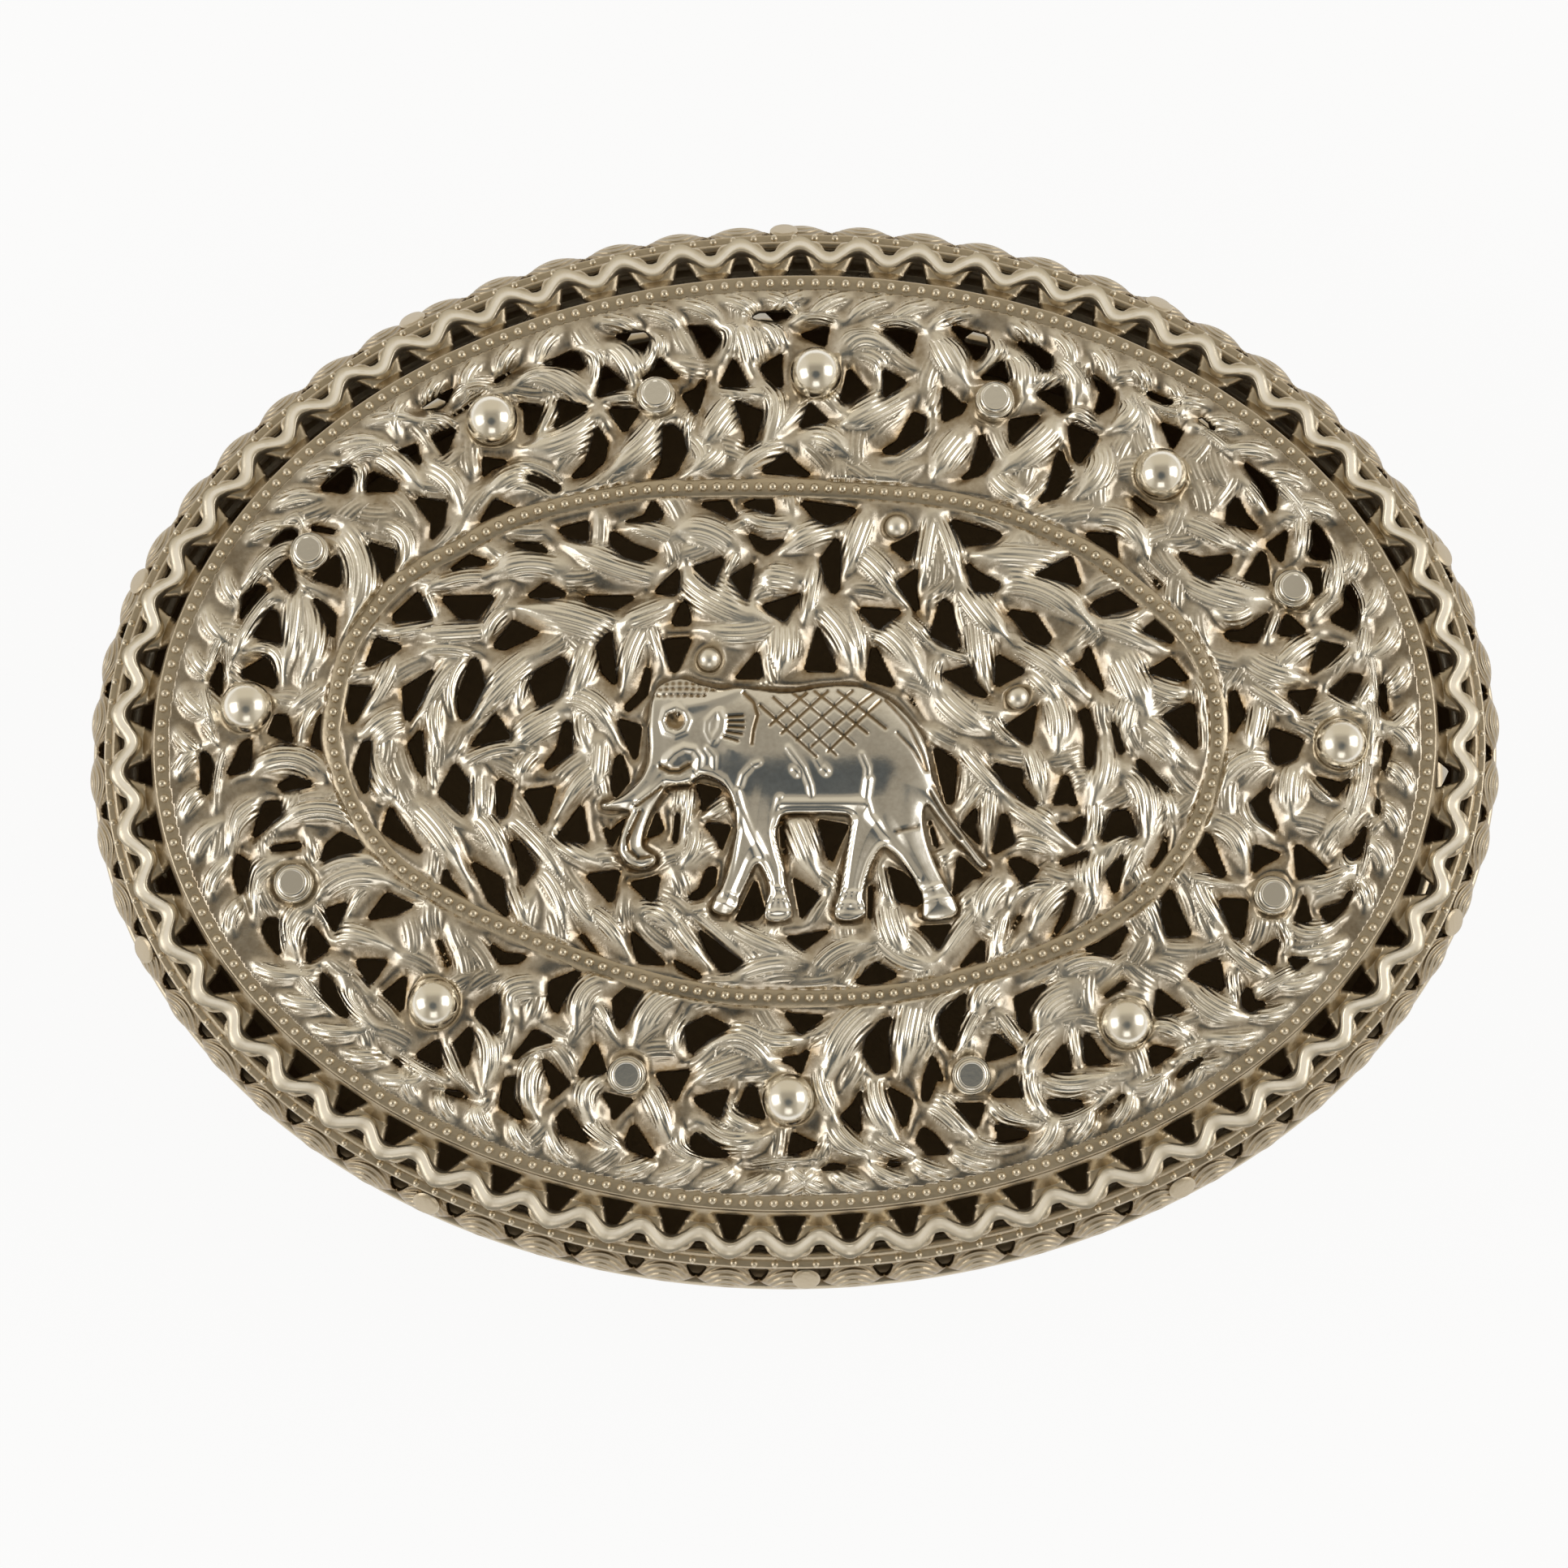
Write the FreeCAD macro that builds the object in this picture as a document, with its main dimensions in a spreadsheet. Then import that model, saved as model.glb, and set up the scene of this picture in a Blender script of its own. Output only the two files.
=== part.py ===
import FreeCAD, Part
import math
import os

# Oval silver box with a lift-off domed lid, chased and pierced, millimetres, +Z up, origin under the middle
doc = FreeCAD.newDocument("silver_box")

# Driving sizes
SIZES = (
    ("box_length", "110"),
    ("box_width", "84"),
    ("sheet", "0.9"),
    ("foot_height", "2.2"),
    ("foot_inset", "6.6"),
    ("foot_wide", "2.6"),
    ("base_wall_height", "19.5"),
    ("base_bottom_inset", "5"),
    ("base_bulge_inset", "2"),
    ("base_top_inset", "2.4"),
    ("seat_height", "1.8"),
    ("seat_inset", "1"),
    ("seat_wide", "2.6"),
    ("bezel_height", "3"),
    ("bezel_gap", "0.3"),
    ("rim_height", "0.8"),
    ("rim_inset", "0.2"),
    ("rim_wide", "1.7"),
    ("band_height", "3.5"),
    ("band_foot_inset", "0.25"),
    ("band_top_inset", "1.55"),
    ("lower_bead_height", "0.8"),
    ("lower_bead_inset", "1.3"),
    ("lower_bead_wide", "1.3"),
    ("ledge_height", "1.4"),
    ("shoulder_foot_inset", "1.7"),
    ("ledge_inset", "1.75"),
    ("ledge_wide", "2.65"),
    ("slope_height", "1.3"),
    ("shoulder_top_inset", "5.3"),
    ("upper_bead_height", "0.9"),
    ("upper_bead_wide", "1"),
    ("panel_seat", "0.5"),
    ("dome_rise", "3"),
    ("wave_count", "62"),
    ("wave_inset", "3.05"),
    ("wave_swing", "0.45"),
    ("wave_wide", "1.6"),
    ("wave_height", "0.7"),
    ("window_wide", "2.9"),
    ("crescent_wide", "1.8"),
    ("leaf_hole_wide", "1.5"),
    ("leaf_hole_height", "1.6"),
    ("base_hole_count", "31"),
    ("base_hole_wide", "3.6"),
    ("base_hole_height", "4"),
    ("band_peg_count", "10"),
    ("band_peg_diameter", "2.2"),
    ("band_peg_height", "0.5"),
    ("figure_relief", "0.7"),
    ("frame_relief", "0.35"),
    ("frame_wide", "1.3"),
    ("berry_diameter", "3.7"),
    ("peg_collar_diameter", "2.7"),
    ("peg_collar_height", "0.7"),
    ("peg_diameter", "1.9"),
    ("peg_height", "1.1"),
    ("bud_diameter", "1.8"),
)
sheet = doc.addObject("Spreadsheet::Sheet", "Sizes")
for row, (alias, text) in enumerate(SIZES, start=1):
    sheet.set("A%d" % row, alias)
    sheet.set("B%d" % row, text)
    sheet.setAlias("B%d" % row, alias)
doc.recompute()

S = "Sizes."
HALF_LENGTH = S + "box_length / 2"
HALF_WIDTH = S + "box_width / 2"

# Levels of the stack, from the table up
Z_FLOOR = S + "foot_height"
Z_WALL = Z_FLOOR + " + " + S + "sheet"
Z_SEAT = Z_WALL + " + " + S + "base_wall_height"
Z_RIM = Z_SEAT + " + " + S + "seat_height"
Z_BAND = Z_RIM + " + " + S + "rim_height"
Z_LOWER_BEAD = Z_BAND + " + " + S + "band_height"
Z_SHOULDER = Z_LOWER_BEAD + " + " + S + "lower_bead_height"
Z_LEDGE = Z_SHOULDER + " + " + S + "ledge_height"
Z_PANEL = Z_LEDGE + " + " + S + "slope_height"
PANEL_INSET = S + "shoulder_top_inset + " + S + "upper_bead_wide"
BEZEL_INSET = S + "rim_inset + " + S + "rim_wide + " + S + "bezel_gap"

# Heights and insets inside a wall, as shares
BASE_BULGE_SHARE = 0.55
BAND_BULGE_SHARE = 0.4
SHOULDER_UNDER_SHARE = 0.3
SHOULDER_UNDER_INSET_SHARE = 2.6


def size(alias):
    """One size from the sheet, as a plain number."""
    return float(getattr(sheet, alias))


def level(text):
    """The number a level or inset expression comes to."""
    total = 0
    for term in text.split(" + "):
        total += size(term.replace(S, ""))
    return total


def oval(name, inset, z):
    """Ellipse set in from the box outline by inset, lying at height z."""
    edge = doc.addObject("Part::Ellipse", name)
    edge.setExpression("MajorRadius", "%s - (%s)" % (HALF_LENGTH, inset))
    edge.setExpression("MinorRadius", "%s - (%s)" % (HALF_WIDTH, inset))
    edge.setExpression(".Placement.Base.z", z)
    return edge


def loft(name, sections, ruled):
    """Solid through ovals given as pairs of inset and height."""
    body = doc.addObject("Part::Loft", name)
    body.Sections = [oval("%s_oval%d" % (name, i), inset, z) for i, (inset, z) in enumerate(sections)]
    body.Solid = True
    body.Ruled = ruled
    return body


def cut(name, base, tool):
    """One shape less another."""
    result = doc.addObject("Part::Cut", name)
    result.Base = base
    result.Tool = tool
    return result


def ring(name, sections, ruled=True):
    """Hollow ring through sections given as inner inset, outer inset and height."""
    outside = loft(name + "_outside", [(outer, z) for outer, inner, z in sections], ruled)
    inside = loft(name + "_inside", [(inner, z) for outer, inner, z in sections], ruled)
    return cut(name, outside, inside)


def wire_ring(name, inset, wide, z, height):
    """Plain wire of rectangular section lying flat round the box."""
    inner = "%s + %s" % (inset, wide)
    return ring(name, [(inset, inner, z), (inset, inner, "%s + %s" % (z, height))])


def coded(name, shape):
    """Document object for a shape worked out in code from the sheet."""
    feature = doc.addObject("Part::Feature", name)
    feature.Shape = shape
    return feature


# Points round an oval at equal distances along it
FINE_STEPS = 2880


def even_angles(inset, count, phase):
    """Ellipse angles of count points spaced evenly along the oval, phase in pitches."""
    a = size("box_length") / 2 - inset
    b = size("box_width") / 2 - inset
    walk = [0]
    for i in range(FINE_STEPS):
        mid = 2 * math.pi * (i + 1 / 2) / FINE_STEPS
        walk.append(walk[-1] + math.hypot(a * math.sin(mid), b * math.cos(mid)))
    angles = []
    for k in range(count):
        goal = walk[-1] * (((k + phase) / count) % 1)
        i = min(next(n for n, d in enumerate(walk) if d >= goal), FINE_STEPS)
        back = 0 if i == 0 else (walk[i] - goal) / (walk[i] - walk[i - 1])
        angles.append(2 * math.pi * (i - back) / FINE_STEPS)
    return angles


def on_oval(inset, angle, z=0):
    """Point on the oval set in by inset, at an ellipse angle."""
    a = size("box_length") / 2 - inset
    b = size("box_width") / 2 - inset
    return FreeCAD.Vector(a * math.cos(angle), b * math.sin(angle), z)


def outward(inset, angle):
    """Level unit vector square to the oval, pointing out."""
    a = size("box_length") / 2 - inset
    b = size("box_width") / 2 - inset
    return FreeCAD.Vector(b * math.cos(angle), a * math.sin(angle), 0).normalize()


def along(inset, angle):
    """Level unit vector along the oval."""
    out = outward(inset, angle)
    return FreeCAD.Vector(-out.y, out.x, 0)


def prism(points, path):
    """Straight prism on a closed outline."""
    return Part.Face(Part.makePolygon(points + points[:1])).extrude(path)


# Piercings of the lid panel, read by eye from the photograph, in its pixels
PIERCINGS_PX = (
    # back scrolls, left to right
    ((368, 597), (397, 569), (417, 572), (428, 596), (425, 613)),
    ((452, 584), (490, 602), (488, 611), (451, 611)),
    ((479, 560), (512, 553), (515, 567), (522, 584), (500, 566)),
    ((492, 495), (515, 478), (538, 462), (536, 492), (530, 498)),
    ((551, 516), (586, 488), (590, 495), (557, 520)),
    ((590, 466), (612, 450), (629, 443), (601, 470)),
    ((654, 446), (690, 425), (703, 431), (718, 459), (712, 463), (690, 458)),
    ((732, 400), (784, 399), (795, 416), (790, 442), (772, 430), (757, 413)),
    ((741, 456), (771, 483), (732, 497)),
    ((632, 502), (668, 509), (654, 542), (645, 541), (644, 512)),
    ((683, 499), (725, 509), (676, 538), (688, 520)),
    ((746, 509), (787, 511), (766, 541)),
    ((732, 531), (746, 552), (742, 575), (722, 592), (697, 597), (719, 575)),
    ((530, 544), (562, 531), (547, 569)),
    ((592, 570), (629, 574), (605, 584), (587, 602), (595, 586)),
    ((651, 590), (689, 603), (685, 614), (648, 598)),
    ((783, 476), (801, 463), (809, 446), (822, 462), (835, 473), (810, 474)),
    ((813, 531), (826, 530), (838, 541), (843, 562), (829, 590), (797, 598), (812, 575)),
    ((917, 381), (929, 371), (966, 371), (975, 366), (966, 383), (951, 391), (926, 387)),
    ((835, 392), (866, 398), (885, 427), (868, 451), (862, 440), (846, 405)),
    ((1080, 404), (1110, 403), (1126, 411), (1117, 445), (1099, 430)),
    ((977, 420), (1017, 402), (1012, 435)),
    ((931, 460), (961, 441), (957, 456), (960, 484), (951, 485)),
    ((899, 448), (917, 482), (913, 485), (881, 484)),
    ((867, 468), (862, 495), (855, 519), (835, 494), (852, 486)),
    ((900, 500), (936, 514), (925, 551), (910, 560), (915, 545)),
    ((1039, 459), (1064, 488), (1040, 504), (1029, 503)),
    ((1082, 462), (1113, 478), (1082, 499)),
    ((991, 501), (1017, 525), (978, 536), (986, 518)),
    ((964, 563), (976, 577), (998, 594), (931, 588)),
    ((1119, 514), (1134, 521), (1131, 546), (1097, 566), (1075, 564), (1099, 549)),
    ((1169, 387), (1218, 401), (1216, 424), (1196, 453), (1186, 428), (1177, 403)),
    ((1248, 405), (1285, 415), (1299, 432), (1291, 459), (1277, 463), (1271, 437), (1258, 417)),
    ((1347, 449), (1371, 484), (1362, 507), (1339, 521), (1349, 490)),
    ((1229, 451), (1238, 485), (1228, 476), (1197, 475)),
    ((1154, 481), (1179, 505), (1190, 498), (1178, 516), (1155, 527)),
    ((1268, 492), (1302, 482), (1306, 517), (1283, 503)),
    ((1235, 523), (1278, 517), (1237, 558)),
    ((1202, 539), (1217, 571), (1203, 590), (1169, 601), (1188, 585)),
    ((1308, 528), (1346, 544), (1321, 577), (1313, 571)),
    ((1297, 555), (1311, 590), (1297, 618), (1264, 628), (1281, 611)),
    ((1423, 523), (1457, 532), (1435, 562)),
    ((1411, 462), (1424, 470), (1440, 477), (1466, 486), (1444, 492), (1424, 481)),
    ((1382, 617), (1388, 616), (1418, 638), (1410, 642)),
    ((1486, 507), (1497, 502), (1523, 530), (1503, 521)),
    ((1536, 565), (1546, 566), (1571, 583), (1583, 601), (1564, 637), (1556, 630), (1548, 595)),
    # upper half of the centre field and the scrolls beside it
    ((508, 618), (550, 624), (546, 655), (530, 673), (531, 650)),
    ((304, 676), (311, 662), (326, 650), (347, 650), (357, 659), (362, 669), (345, 664), (315, 670)),
    ((377, 650), (397, 655), (416, 659), (415, 664), (381, 658)),
    ((452, 672), (487, 683), (483, 729), (477, 725), (464, 698)),
    ((411, 690), (420, 692), (420, 728), (385, 717)),
    ((356, 690), (366, 728), (361, 736), (329, 710)),
    ((278, 733), (300, 721), (327, 726), (310, 744), (287, 763), (279, 771), (281, 752)),
    ((333, 755), (343, 757), (351, 797), (313, 787)),
    ((385, 739), (402, 748), (416, 762), (411, 808), (407, 781)),
    ((301, 829), (331, 812), (344, 842), (342, 851), (302, 837)),
    ((254, 806), (260, 834), (266, 864), (236, 842), (249, 824)),
    ((450, 828), (464, 788), (499, 800)),
    ((426, 847), (461, 848), (440, 892), (433, 893)),
    ((484, 762), (515, 733), (534, 767), (488, 770)),
    ((497, 850), (537, 824), (522, 862), (503, 896)),
    ((341, 882), (357, 884), (364, 918), (333, 905)),
    ((396, 881), (402, 884), (406, 934), (398, 925), (385, 918)),
    ((608, 621), (638, 632), (600, 649), (587, 653)),
    ((624, 672), (650, 674), (664, 675), (679, 688), (648, 683)),
    ((683, 656), (723, 646), (723, 672), (697, 667)),
    ((750, 657), (777, 674), (811, 686), (788, 697), (765, 691), (750, 675)),
    ((757, 650), (790, 640), (801, 621), (816, 641), (800, 648)),
    ((546, 711), (578, 688), (608, 699), (572, 703)),
    ((541, 739), (611, 737), (588, 767), (567, 766)),
    ((645, 739), (671, 721), (702, 738), (672, 741)),
    ((704, 729), (722, 738), (786, 737), (757, 754), (728, 750)),
    ((802, 734), (834, 702), (832, 736)),
    ((606, 800), (631, 767), (666, 783), (622, 803)),
    ((581, 813), (589, 815), (598, 846), (578, 886), (568, 889), (564, 858)),
    ((660, 828), (691, 811), (700, 824), (688, 860), (663, 873), (652, 842)),
    ((733, 798), (751, 778), (758, 848), (741, 832)),
    ((796, 816), (799, 830), (796, 858), (771, 879), (767, 871), (784, 853)),
    ((838, 742), (843, 748), (848, 773), (823, 773)),
    ((814, 790), (850, 787), (833, 827), (825, 833)),
    ((611, 880), (630, 910), (579, 921), (594, 902)),
    ((757, 885), (789, 894), (783, 935), (778, 935)),
    ((850, 624), (893, 622), (905, 641), (898, 646), (872, 633)),
    ((906, 627), (945, 614), (951, 640), (930, 634)),
    ((978, 621), (1052, 632), (1035, 645), (1015, 653), (1000, 646)),
    ((914, 659), (940, 671), (965, 669), (941, 688), (927, 681)),
    ((850, 702), (890, 689), (875, 727)),
    ((895, 714), (926, 695), (916, 747)),
    ((933, 749), (984, 733), (962, 769)),
    ((1024, 667), (1029, 674), (1028, 730), (1021, 737), (1012, 722), (1005, 692)),
    ((1002, 771), (1026, 829), (986, 828)),
    ((929, 803), (935, 837), (900, 838)),
    ((1048, 751), (1107, 755), (1075, 779)),
    ((1089, 677), (1126, 657), (1114, 697)),
    ((1123, 703), (1121, 730), (1127, 767), (1098, 722)),
    ((1069, 794), (1097, 849), (1060, 839)),
    ((1110, 858), (1115, 857), (1133, 893)),
    ((1161, 643), (1229, 663), (1217, 673), (1180, 677)),
    ((1180, 693), (1196, 707), (1225, 724), (1219, 733), (1192, 733)),
    ((1262, 713), (1311, 689), (1323, 727)),
    ((1323, 660), (1363, 663), (1369, 697), (1343, 675)),
    ((1397, 700), (1421, 727), (1418, 732)),
    ((1152, 741), (1163, 746), (1175, 805), (1138, 786)),
    ((1228, 753), (1266, 759), (1286, 789), (1279, 799), (1261, 794), (1241, 767)),
    ((1333, 747), (1368, 732), (1394, 751), (1347, 763)),
    ((1394, 781), (1425, 757), (1436, 797)),
    ((1150, 831), (1188, 822), (1192, 841), (1213, 861), (1190, 857)),
    ((1219, 807), (1256, 829), (1217, 849)),
    ((1306, 822), (1323, 816), (1331, 797), (1338, 816), (1352, 858), (1337, 842), (1321, 824)),
    ((1228, 896), (1269, 867), (1259, 919)),
    ((1318, 879), (1329, 871), (1341, 908), (1335, 945), (1327, 946), (1326, 905)),
    ((1357, 888), (1364, 894), (1376, 930), (1366, 928)),
    ((1398, 831), (1431, 812), (1455, 842)),
    ((1419, 883), (1458, 867), (1464, 926)),
    ((1438, 684), (1470, 692), (1508, 688), (1505, 701), (1478, 721), (1461, 711)),
    ((1513, 616), (1525, 640), (1543, 660), (1499, 650), (1503, 628)),
    ((1548, 676), (1582, 654), (1568, 700)),
    ((1520, 718), (1541, 684), (1548, 686), (1554, 726)),
    ((1592, 704), (1626, 702), (1615, 736), (1606, 737)),
    ((1604, 688), (1622, 670), (1631, 635), (1647, 646), (1656, 668), (1648, 688), (1617, 692)),
    ((1624, 767), (1655, 749), (1675, 712), (1688, 737), (1677, 770), (1662, 780)),
    ((1493, 781), (1519, 780), (1553, 756), (1537, 795), (1503, 792)),
    ((1573, 758), (1600, 785), (1562, 786)),
    ((1612, 793), (1648, 800), (1624, 822), (1600, 836)),
    ((1622, 855), (1648, 833), (1676, 834), (1649, 869)),
    ((1572, 856), (1611, 851), (1592, 886), (1588, 872)),
    ((1502, 858), (1508, 849), (1521, 881), (1503, 913)),
    ((1551, 899), (1560, 900), (1593, 913), (1583, 935), (1560, 943), (1553, 938)),
    ((1712, 838), (1720, 843), (1725, 886), (1705, 870)),
    # lower half of the centre field and the scrolls beside it
    ((223, 926), (245, 934), (250, 948), (238, 980), (231, 987), (223, 972)),
    ((279, 957), (300, 918), (314, 908), (311, 951)),
    ((344, 968), (365, 956), (394, 967), (352, 976)),
    ((329, 988), (349, 986), (351, 1003), (313, 1037), (322, 1008)),
    ((337, 1042), (375, 1036), (375, 1044), (338, 1048)),
    ((397, 1063), (405, 1038), (422, 1024), (454, 1039), (445, 1048), (420, 1053)),
    ((272, 1082), (286, 1053), (311, 1062), (298, 1090), (282, 1104), (284, 1126), (274, 1100)),
    ((306, 1150), (320, 1134), (347, 1129), (333, 1168), (331, 1190), (311, 1167)),
    ((384, 1137), (392, 1140), (410, 1165), (377, 1187), (384, 1163)),
    ((403, 1118), (433, 1108), (416, 1149)),
    ((453, 1131), (478, 1097), (514, 1112), (490, 1124)),
    ((473, 1024), (483, 990), (490, 1006), (522, 1046), (519, 1050), (492, 1036)),
    ((447, 916), (460, 912), (456, 976), (450, 977), (437, 948)),
    ((441, 1178), (482, 1178), (467, 1200), (458, 1210)),
    ((504, 917), (521, 897), (526, 966), (515, 945)),
    ((561, 939), (580, 966), (575, 1004), (541, 977)),
    ((613, 957), (632, 967), (623, 1005), (614, 1005)),
    ((644, 974), (685, 967), (669, 1018)),
    ((694, 889), (703, 889), (704, 928), (675, 948), (669, 944), (685, 922)),
    ((757, 932), (764, 928), (774, 962), (756, 984), (751, 968)),
    ((685, 1029), (716, 988), (725, 1036), (694, 1035)),
    ((739, 1011), (750, 1021), (776, 1000), (752, 1043)),
    ((806, 997), (816, 1022), (793, 1031)),
    ((628, 1029), (646, 1040), (660, 1067), (643, 1093), (637, 1053)),
    ((580, 1056), (620, 1079), (627, 1128), (602, 1106)),
    ((550, 1061), (556, 1079), (577, 1104), (572, 1108), (546, 1087)),
    ((720, 1074), (763, 1069), (752, 1110)),
    ((773, 1084), (812, 1074), (803, 1110)),
    ((711, 1145), (718, 1146), (740, 1176), (736, 1179)),
    ((774, 1139), (820, 1184), (784, 1181)),
    ((539, 1152), (545, 1154), (557, 1186), (554, 1190)),
    ((600, 1153), (622, 1169), (652, 1172), (641, 1181), (617, 1182)),
    ((677, 1203), (719, 1186), (696, 1222), (685, 1246), (676, 1225)),
    ((853, 963), (888, 971), (858, 1004), (862, 985)),
    ((863, 1011), (898, 1015), (884, 1049), (881, 1034)),
    ((844, 1101), (858, 1091), (867, 1066), (880, 1064), (878, 1087), (864, 1101), (850, 1105)),
    ((900, 1131), (926, 1078), (939, 1118), (930, 1127)),
    ((954, 1004), (959, 1006), (964, 1049), (959, 1050)),
    ((1001, 1006), (1041, 1014), (1017, 1063), (1013, 1050)),
    ((971, 1076), (1005, 1099), (981, 1130)),
    ((1063, 1087), (1069, 1087), (1067, 1132), (1062, 1124)),
    ((1085, 1064), (1105, 1070), (1128, 1090), (1131, 1107), (1122, 1112), (1098, 1105), (1094, 1090)),
    ((957, 1145), (972, 1148), (1019, 1140), (985, 1165)),
    ((855, 1137), (912, 1179), (900, 1190), (884, 1192), (868, 1165)),
    ((824, 1174), (863, 1196), (857, 1201), (832, 1187)),
    ((1072, 1179), (1100, 1196), (1071, 1208), (1045, 1204)),
    ((1134, 1004), (1140, 1010), (1149, 1041), (1143, 1042)),
    ((828, 1001), (835, 1001), (832, 1036), (826, 1036)),
    ((1122, 1136), (1166, 1133), (1148, 1166), (1137, 1152)),
    ((1141, 921), (1150, 922), (1170, 938), (1166, 987), (1158, 991), (1150, 960)),
    ((1209, 939), (1250, 947), (1249, 965), (1272, 994), (1257, 991), (1229, 966)),
    ((1300, 953), (1304, 955), (1318, 994), (1305, 988), (1286, 990)),
    ((1321, 1003), (1326, 1009), (1318, 1041), (1289, 1011), (1308, 1012)),
    ((1196, 991), (1192, 1016), (1200, 1041), (1173, 1016)),
    ((1225, 999), (1231, 1003), (1241, 1037), (1212, 1051)),
    ((1231, 1056), (1247, 1054), (1268, 1065), (1278, 1059), (1252, 1089)),
    ((1172, 1052), (1180, 1054), (1203, 1076), (1190, 1079), (1163, 1104)),
    ((1294, 1058), (1331, 1044), (1329, 1053), (1298, 1064)),
    ((1344, 1035), (1359, 998), (1377, 996), (1390, 1030), (1371, 1027)),
    ((1426, 1019), (1424, 1057), (1400, 1073), (1416, 1047)),
    ((1351, 1072), (1374, 1047), (1363, 1104)),
    ((1307, 1092), (1314, 1097), (1306, 1127), (1288, 1151), (1285, 1149), (1298, 1122)),
    ((1245, 1121), (1250, 1124), (1229, 1159)),
    ((1203, 1149), (1204, 1188), (1194, 1177), (1169, 1191), (1186, 1168)),
    ((1373, 1137), (1378, 1141), (1361, 1173), (1320, 1166), (1342, 1157)),
    ((1419, 1103), (1429, 1091), (1455, 1149), (1425, 1150), (1417, 1123)),
    ((1388, 932), (1398, 938), (1431, 972), (1423, 975), (1391, 950)),
    ((1602, 955), (1637, 965), (1655, 955), (1630, 983)),
    ((1527, 988), (1554, 963), (1548, 985), (1563, 1030), (1549, 1016), (1537, 1008)),
    ((1468, 1024), (1478, 1028), (1498, 1078), (1484, 1076), (1462, 1047)),
    ((1532, 1039), (1567, 1052), (1541, 1065), (1528, 1078)),
    ((1580, 1040), (1590, 1041), (1622, 1071), (1584, 1082)),
    ((1638, 1048), (1660, 1043), (1690, 1013), (1684, 1055), (1669, 1062)),
    ((1591, 1097), (1611, 1137), (1579, 1134)),
    ((1617, 1121), (1660, 1117), (1685, 1093), (1675, 1125), (1645, 1144)),
    ((1487, 1104), (1525, 1106), (1517, 1153), (1506, 1151)),
    ((1528, 1173), (1562, 1150), (1559, 1175), (1564, 1192), (1546, 1178)),
    ((1578, 1176), (1604, 1186), (1636, 1190), (1605, 1204)),
    ((1700, 972), (1709, 985), (1713, 1008), (1706, 1012)),
    ((1711, 911), (1731, 924), (1713, 960), (1707, 962), (1715, 930)),
    # front scrolls, left to right
    ((400, 1192), (412, 1203), (426, 1258), (405, 1255), (385, 1230), (392, 1212)),
    ((474, 1219), (504, 1195), (499, 1245), (488, 1232)),
    ((453, 1306), (481, 1311), (495, 1333), (470, 1316)),
    ((510, 1297), (543, 1272), (547, 1311)),
    ((589, 1235), (615, 1217), (617, 1265), (611, 1267), (587, 1246)),
    ((561, 1278), (582, 1255), (585, 1275), (577, 1308), (572, 1306)),
    ((519, 1352), (557, 1347), (578, 1365), (550, 1358)),
    ((621, 1321), (637, 1318), (633, 1345), (641, 1390), (610, 1366)),
    ((658, 1261), (686, 1276), (658, 1282), (636, 1299), (632, 1295)),
    ((666, 1292), (703, 1327), (675, 1351), (680, 1333)),
    ((697, 1355), (720, 1419), (684, 1401), (686, 1367)),
    ((732, 1276), (748, 1314), (710, 1319)),
    ((739, 1336), (781, 1345), (753, 1373), (752, 1358)),
    ((778, 1373), (803, 1436), (769, 1420), (768, 1398)),
    ((753, 1224), (775, 1205), (796, 1208), (779, 1234), (764, 1264), (757, 1250)),
    ((804, 1314), (848, 1310), (829, 1350), (822, 1338)),
    ((840, 1257), (868, 1244), (897, 1258), (870, 1273), (847, 1294)),
    ((851, 1343), (896, 1332), (883, 1370), (856, 1352)),
    ((916, 1330), (926, 1329), (940, 1371), (904, 1358)),
    ((849, 1389), (856, 1387), (899, 1423), (860, 1422), (848, 1412)),
    ((956, 1236), (972, 1242), (1013, 1244), (982, 1267)),
    ((950, 1296), (978, 1293), (994, 1280), (981, 1317), (972, 1305)),
    ((971, 1385), (1004, 1401), (964, 1418)),
    ((902, 1447), (940, 1444), (966, 1451), (920, 1451)),
    ((1000, 1452), (1020, 1435), (1053, 1447), (1020, 1450)),
    ((1076, 1435), (1122, 1442), (1095, 1447)),
    ((1078, 1250), (1095, 1243), (1086, 1262), (1089, 1312), (1072, 1314), (1056, 1290), (1060, 1270)),
    ((1059, 1324), (1052, 1358), (1054, 1389), (1030, 1366), (1043, 1352)),
    ((1082, 1327), (1116, 1346), (1107, 1386), (1097, 1358)),
    ((1141, 1290), (1155, 1325), (1146, 1322), (1134, 1350), (1127, 1345), (1130, 1318)),
    ((1128, 1378), (1141, 1386), (1166, 1423), (1163, 1429), (1140, 1428), (1120, 1396)),
    ((1148, 1245), (1184, 1212), (1177, 1245), (1165, 1291), (1150, 1268)),
    ((1239, 1222), (1283, 1203), (1257, 1238), (1260, 1267), (1246, 1256)),
    ((1215, 1265), (1244, 1289), (1202, 1302)),
    ((1241, 1316), (1255, 1354), (1246, 1343), (1207, 1342), (1226, 1328)),
    ((1165, 1350), (1204, 1350), (1195, 1385)),
    ((1214, 1376), (1271, 1402), (1262, 1412), (1227, 1414), (1224, 1395)),
    ((1301, 1276), (1309, 1312), (1272, 1315)),
    ((1322, 1268), (1331, 1269), (1351, 1298), (1365, 1302), (1326, 1305)),
    ((1278, 1346), (1341, 1360), (1310, 1374), (1290, 1366)),
    ((1384, 1354), (1390, 1357), (1364, 1390), (1358, 1387)),
    ((1346, 1222), (1372, 1203), (1379, 1207), (1350, 1225)),
    ((1413, 1212), (1449, 1240), (1408, 1248)),
    ((1404, 1281), (1444, 1292), (1412, 1317)),
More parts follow.
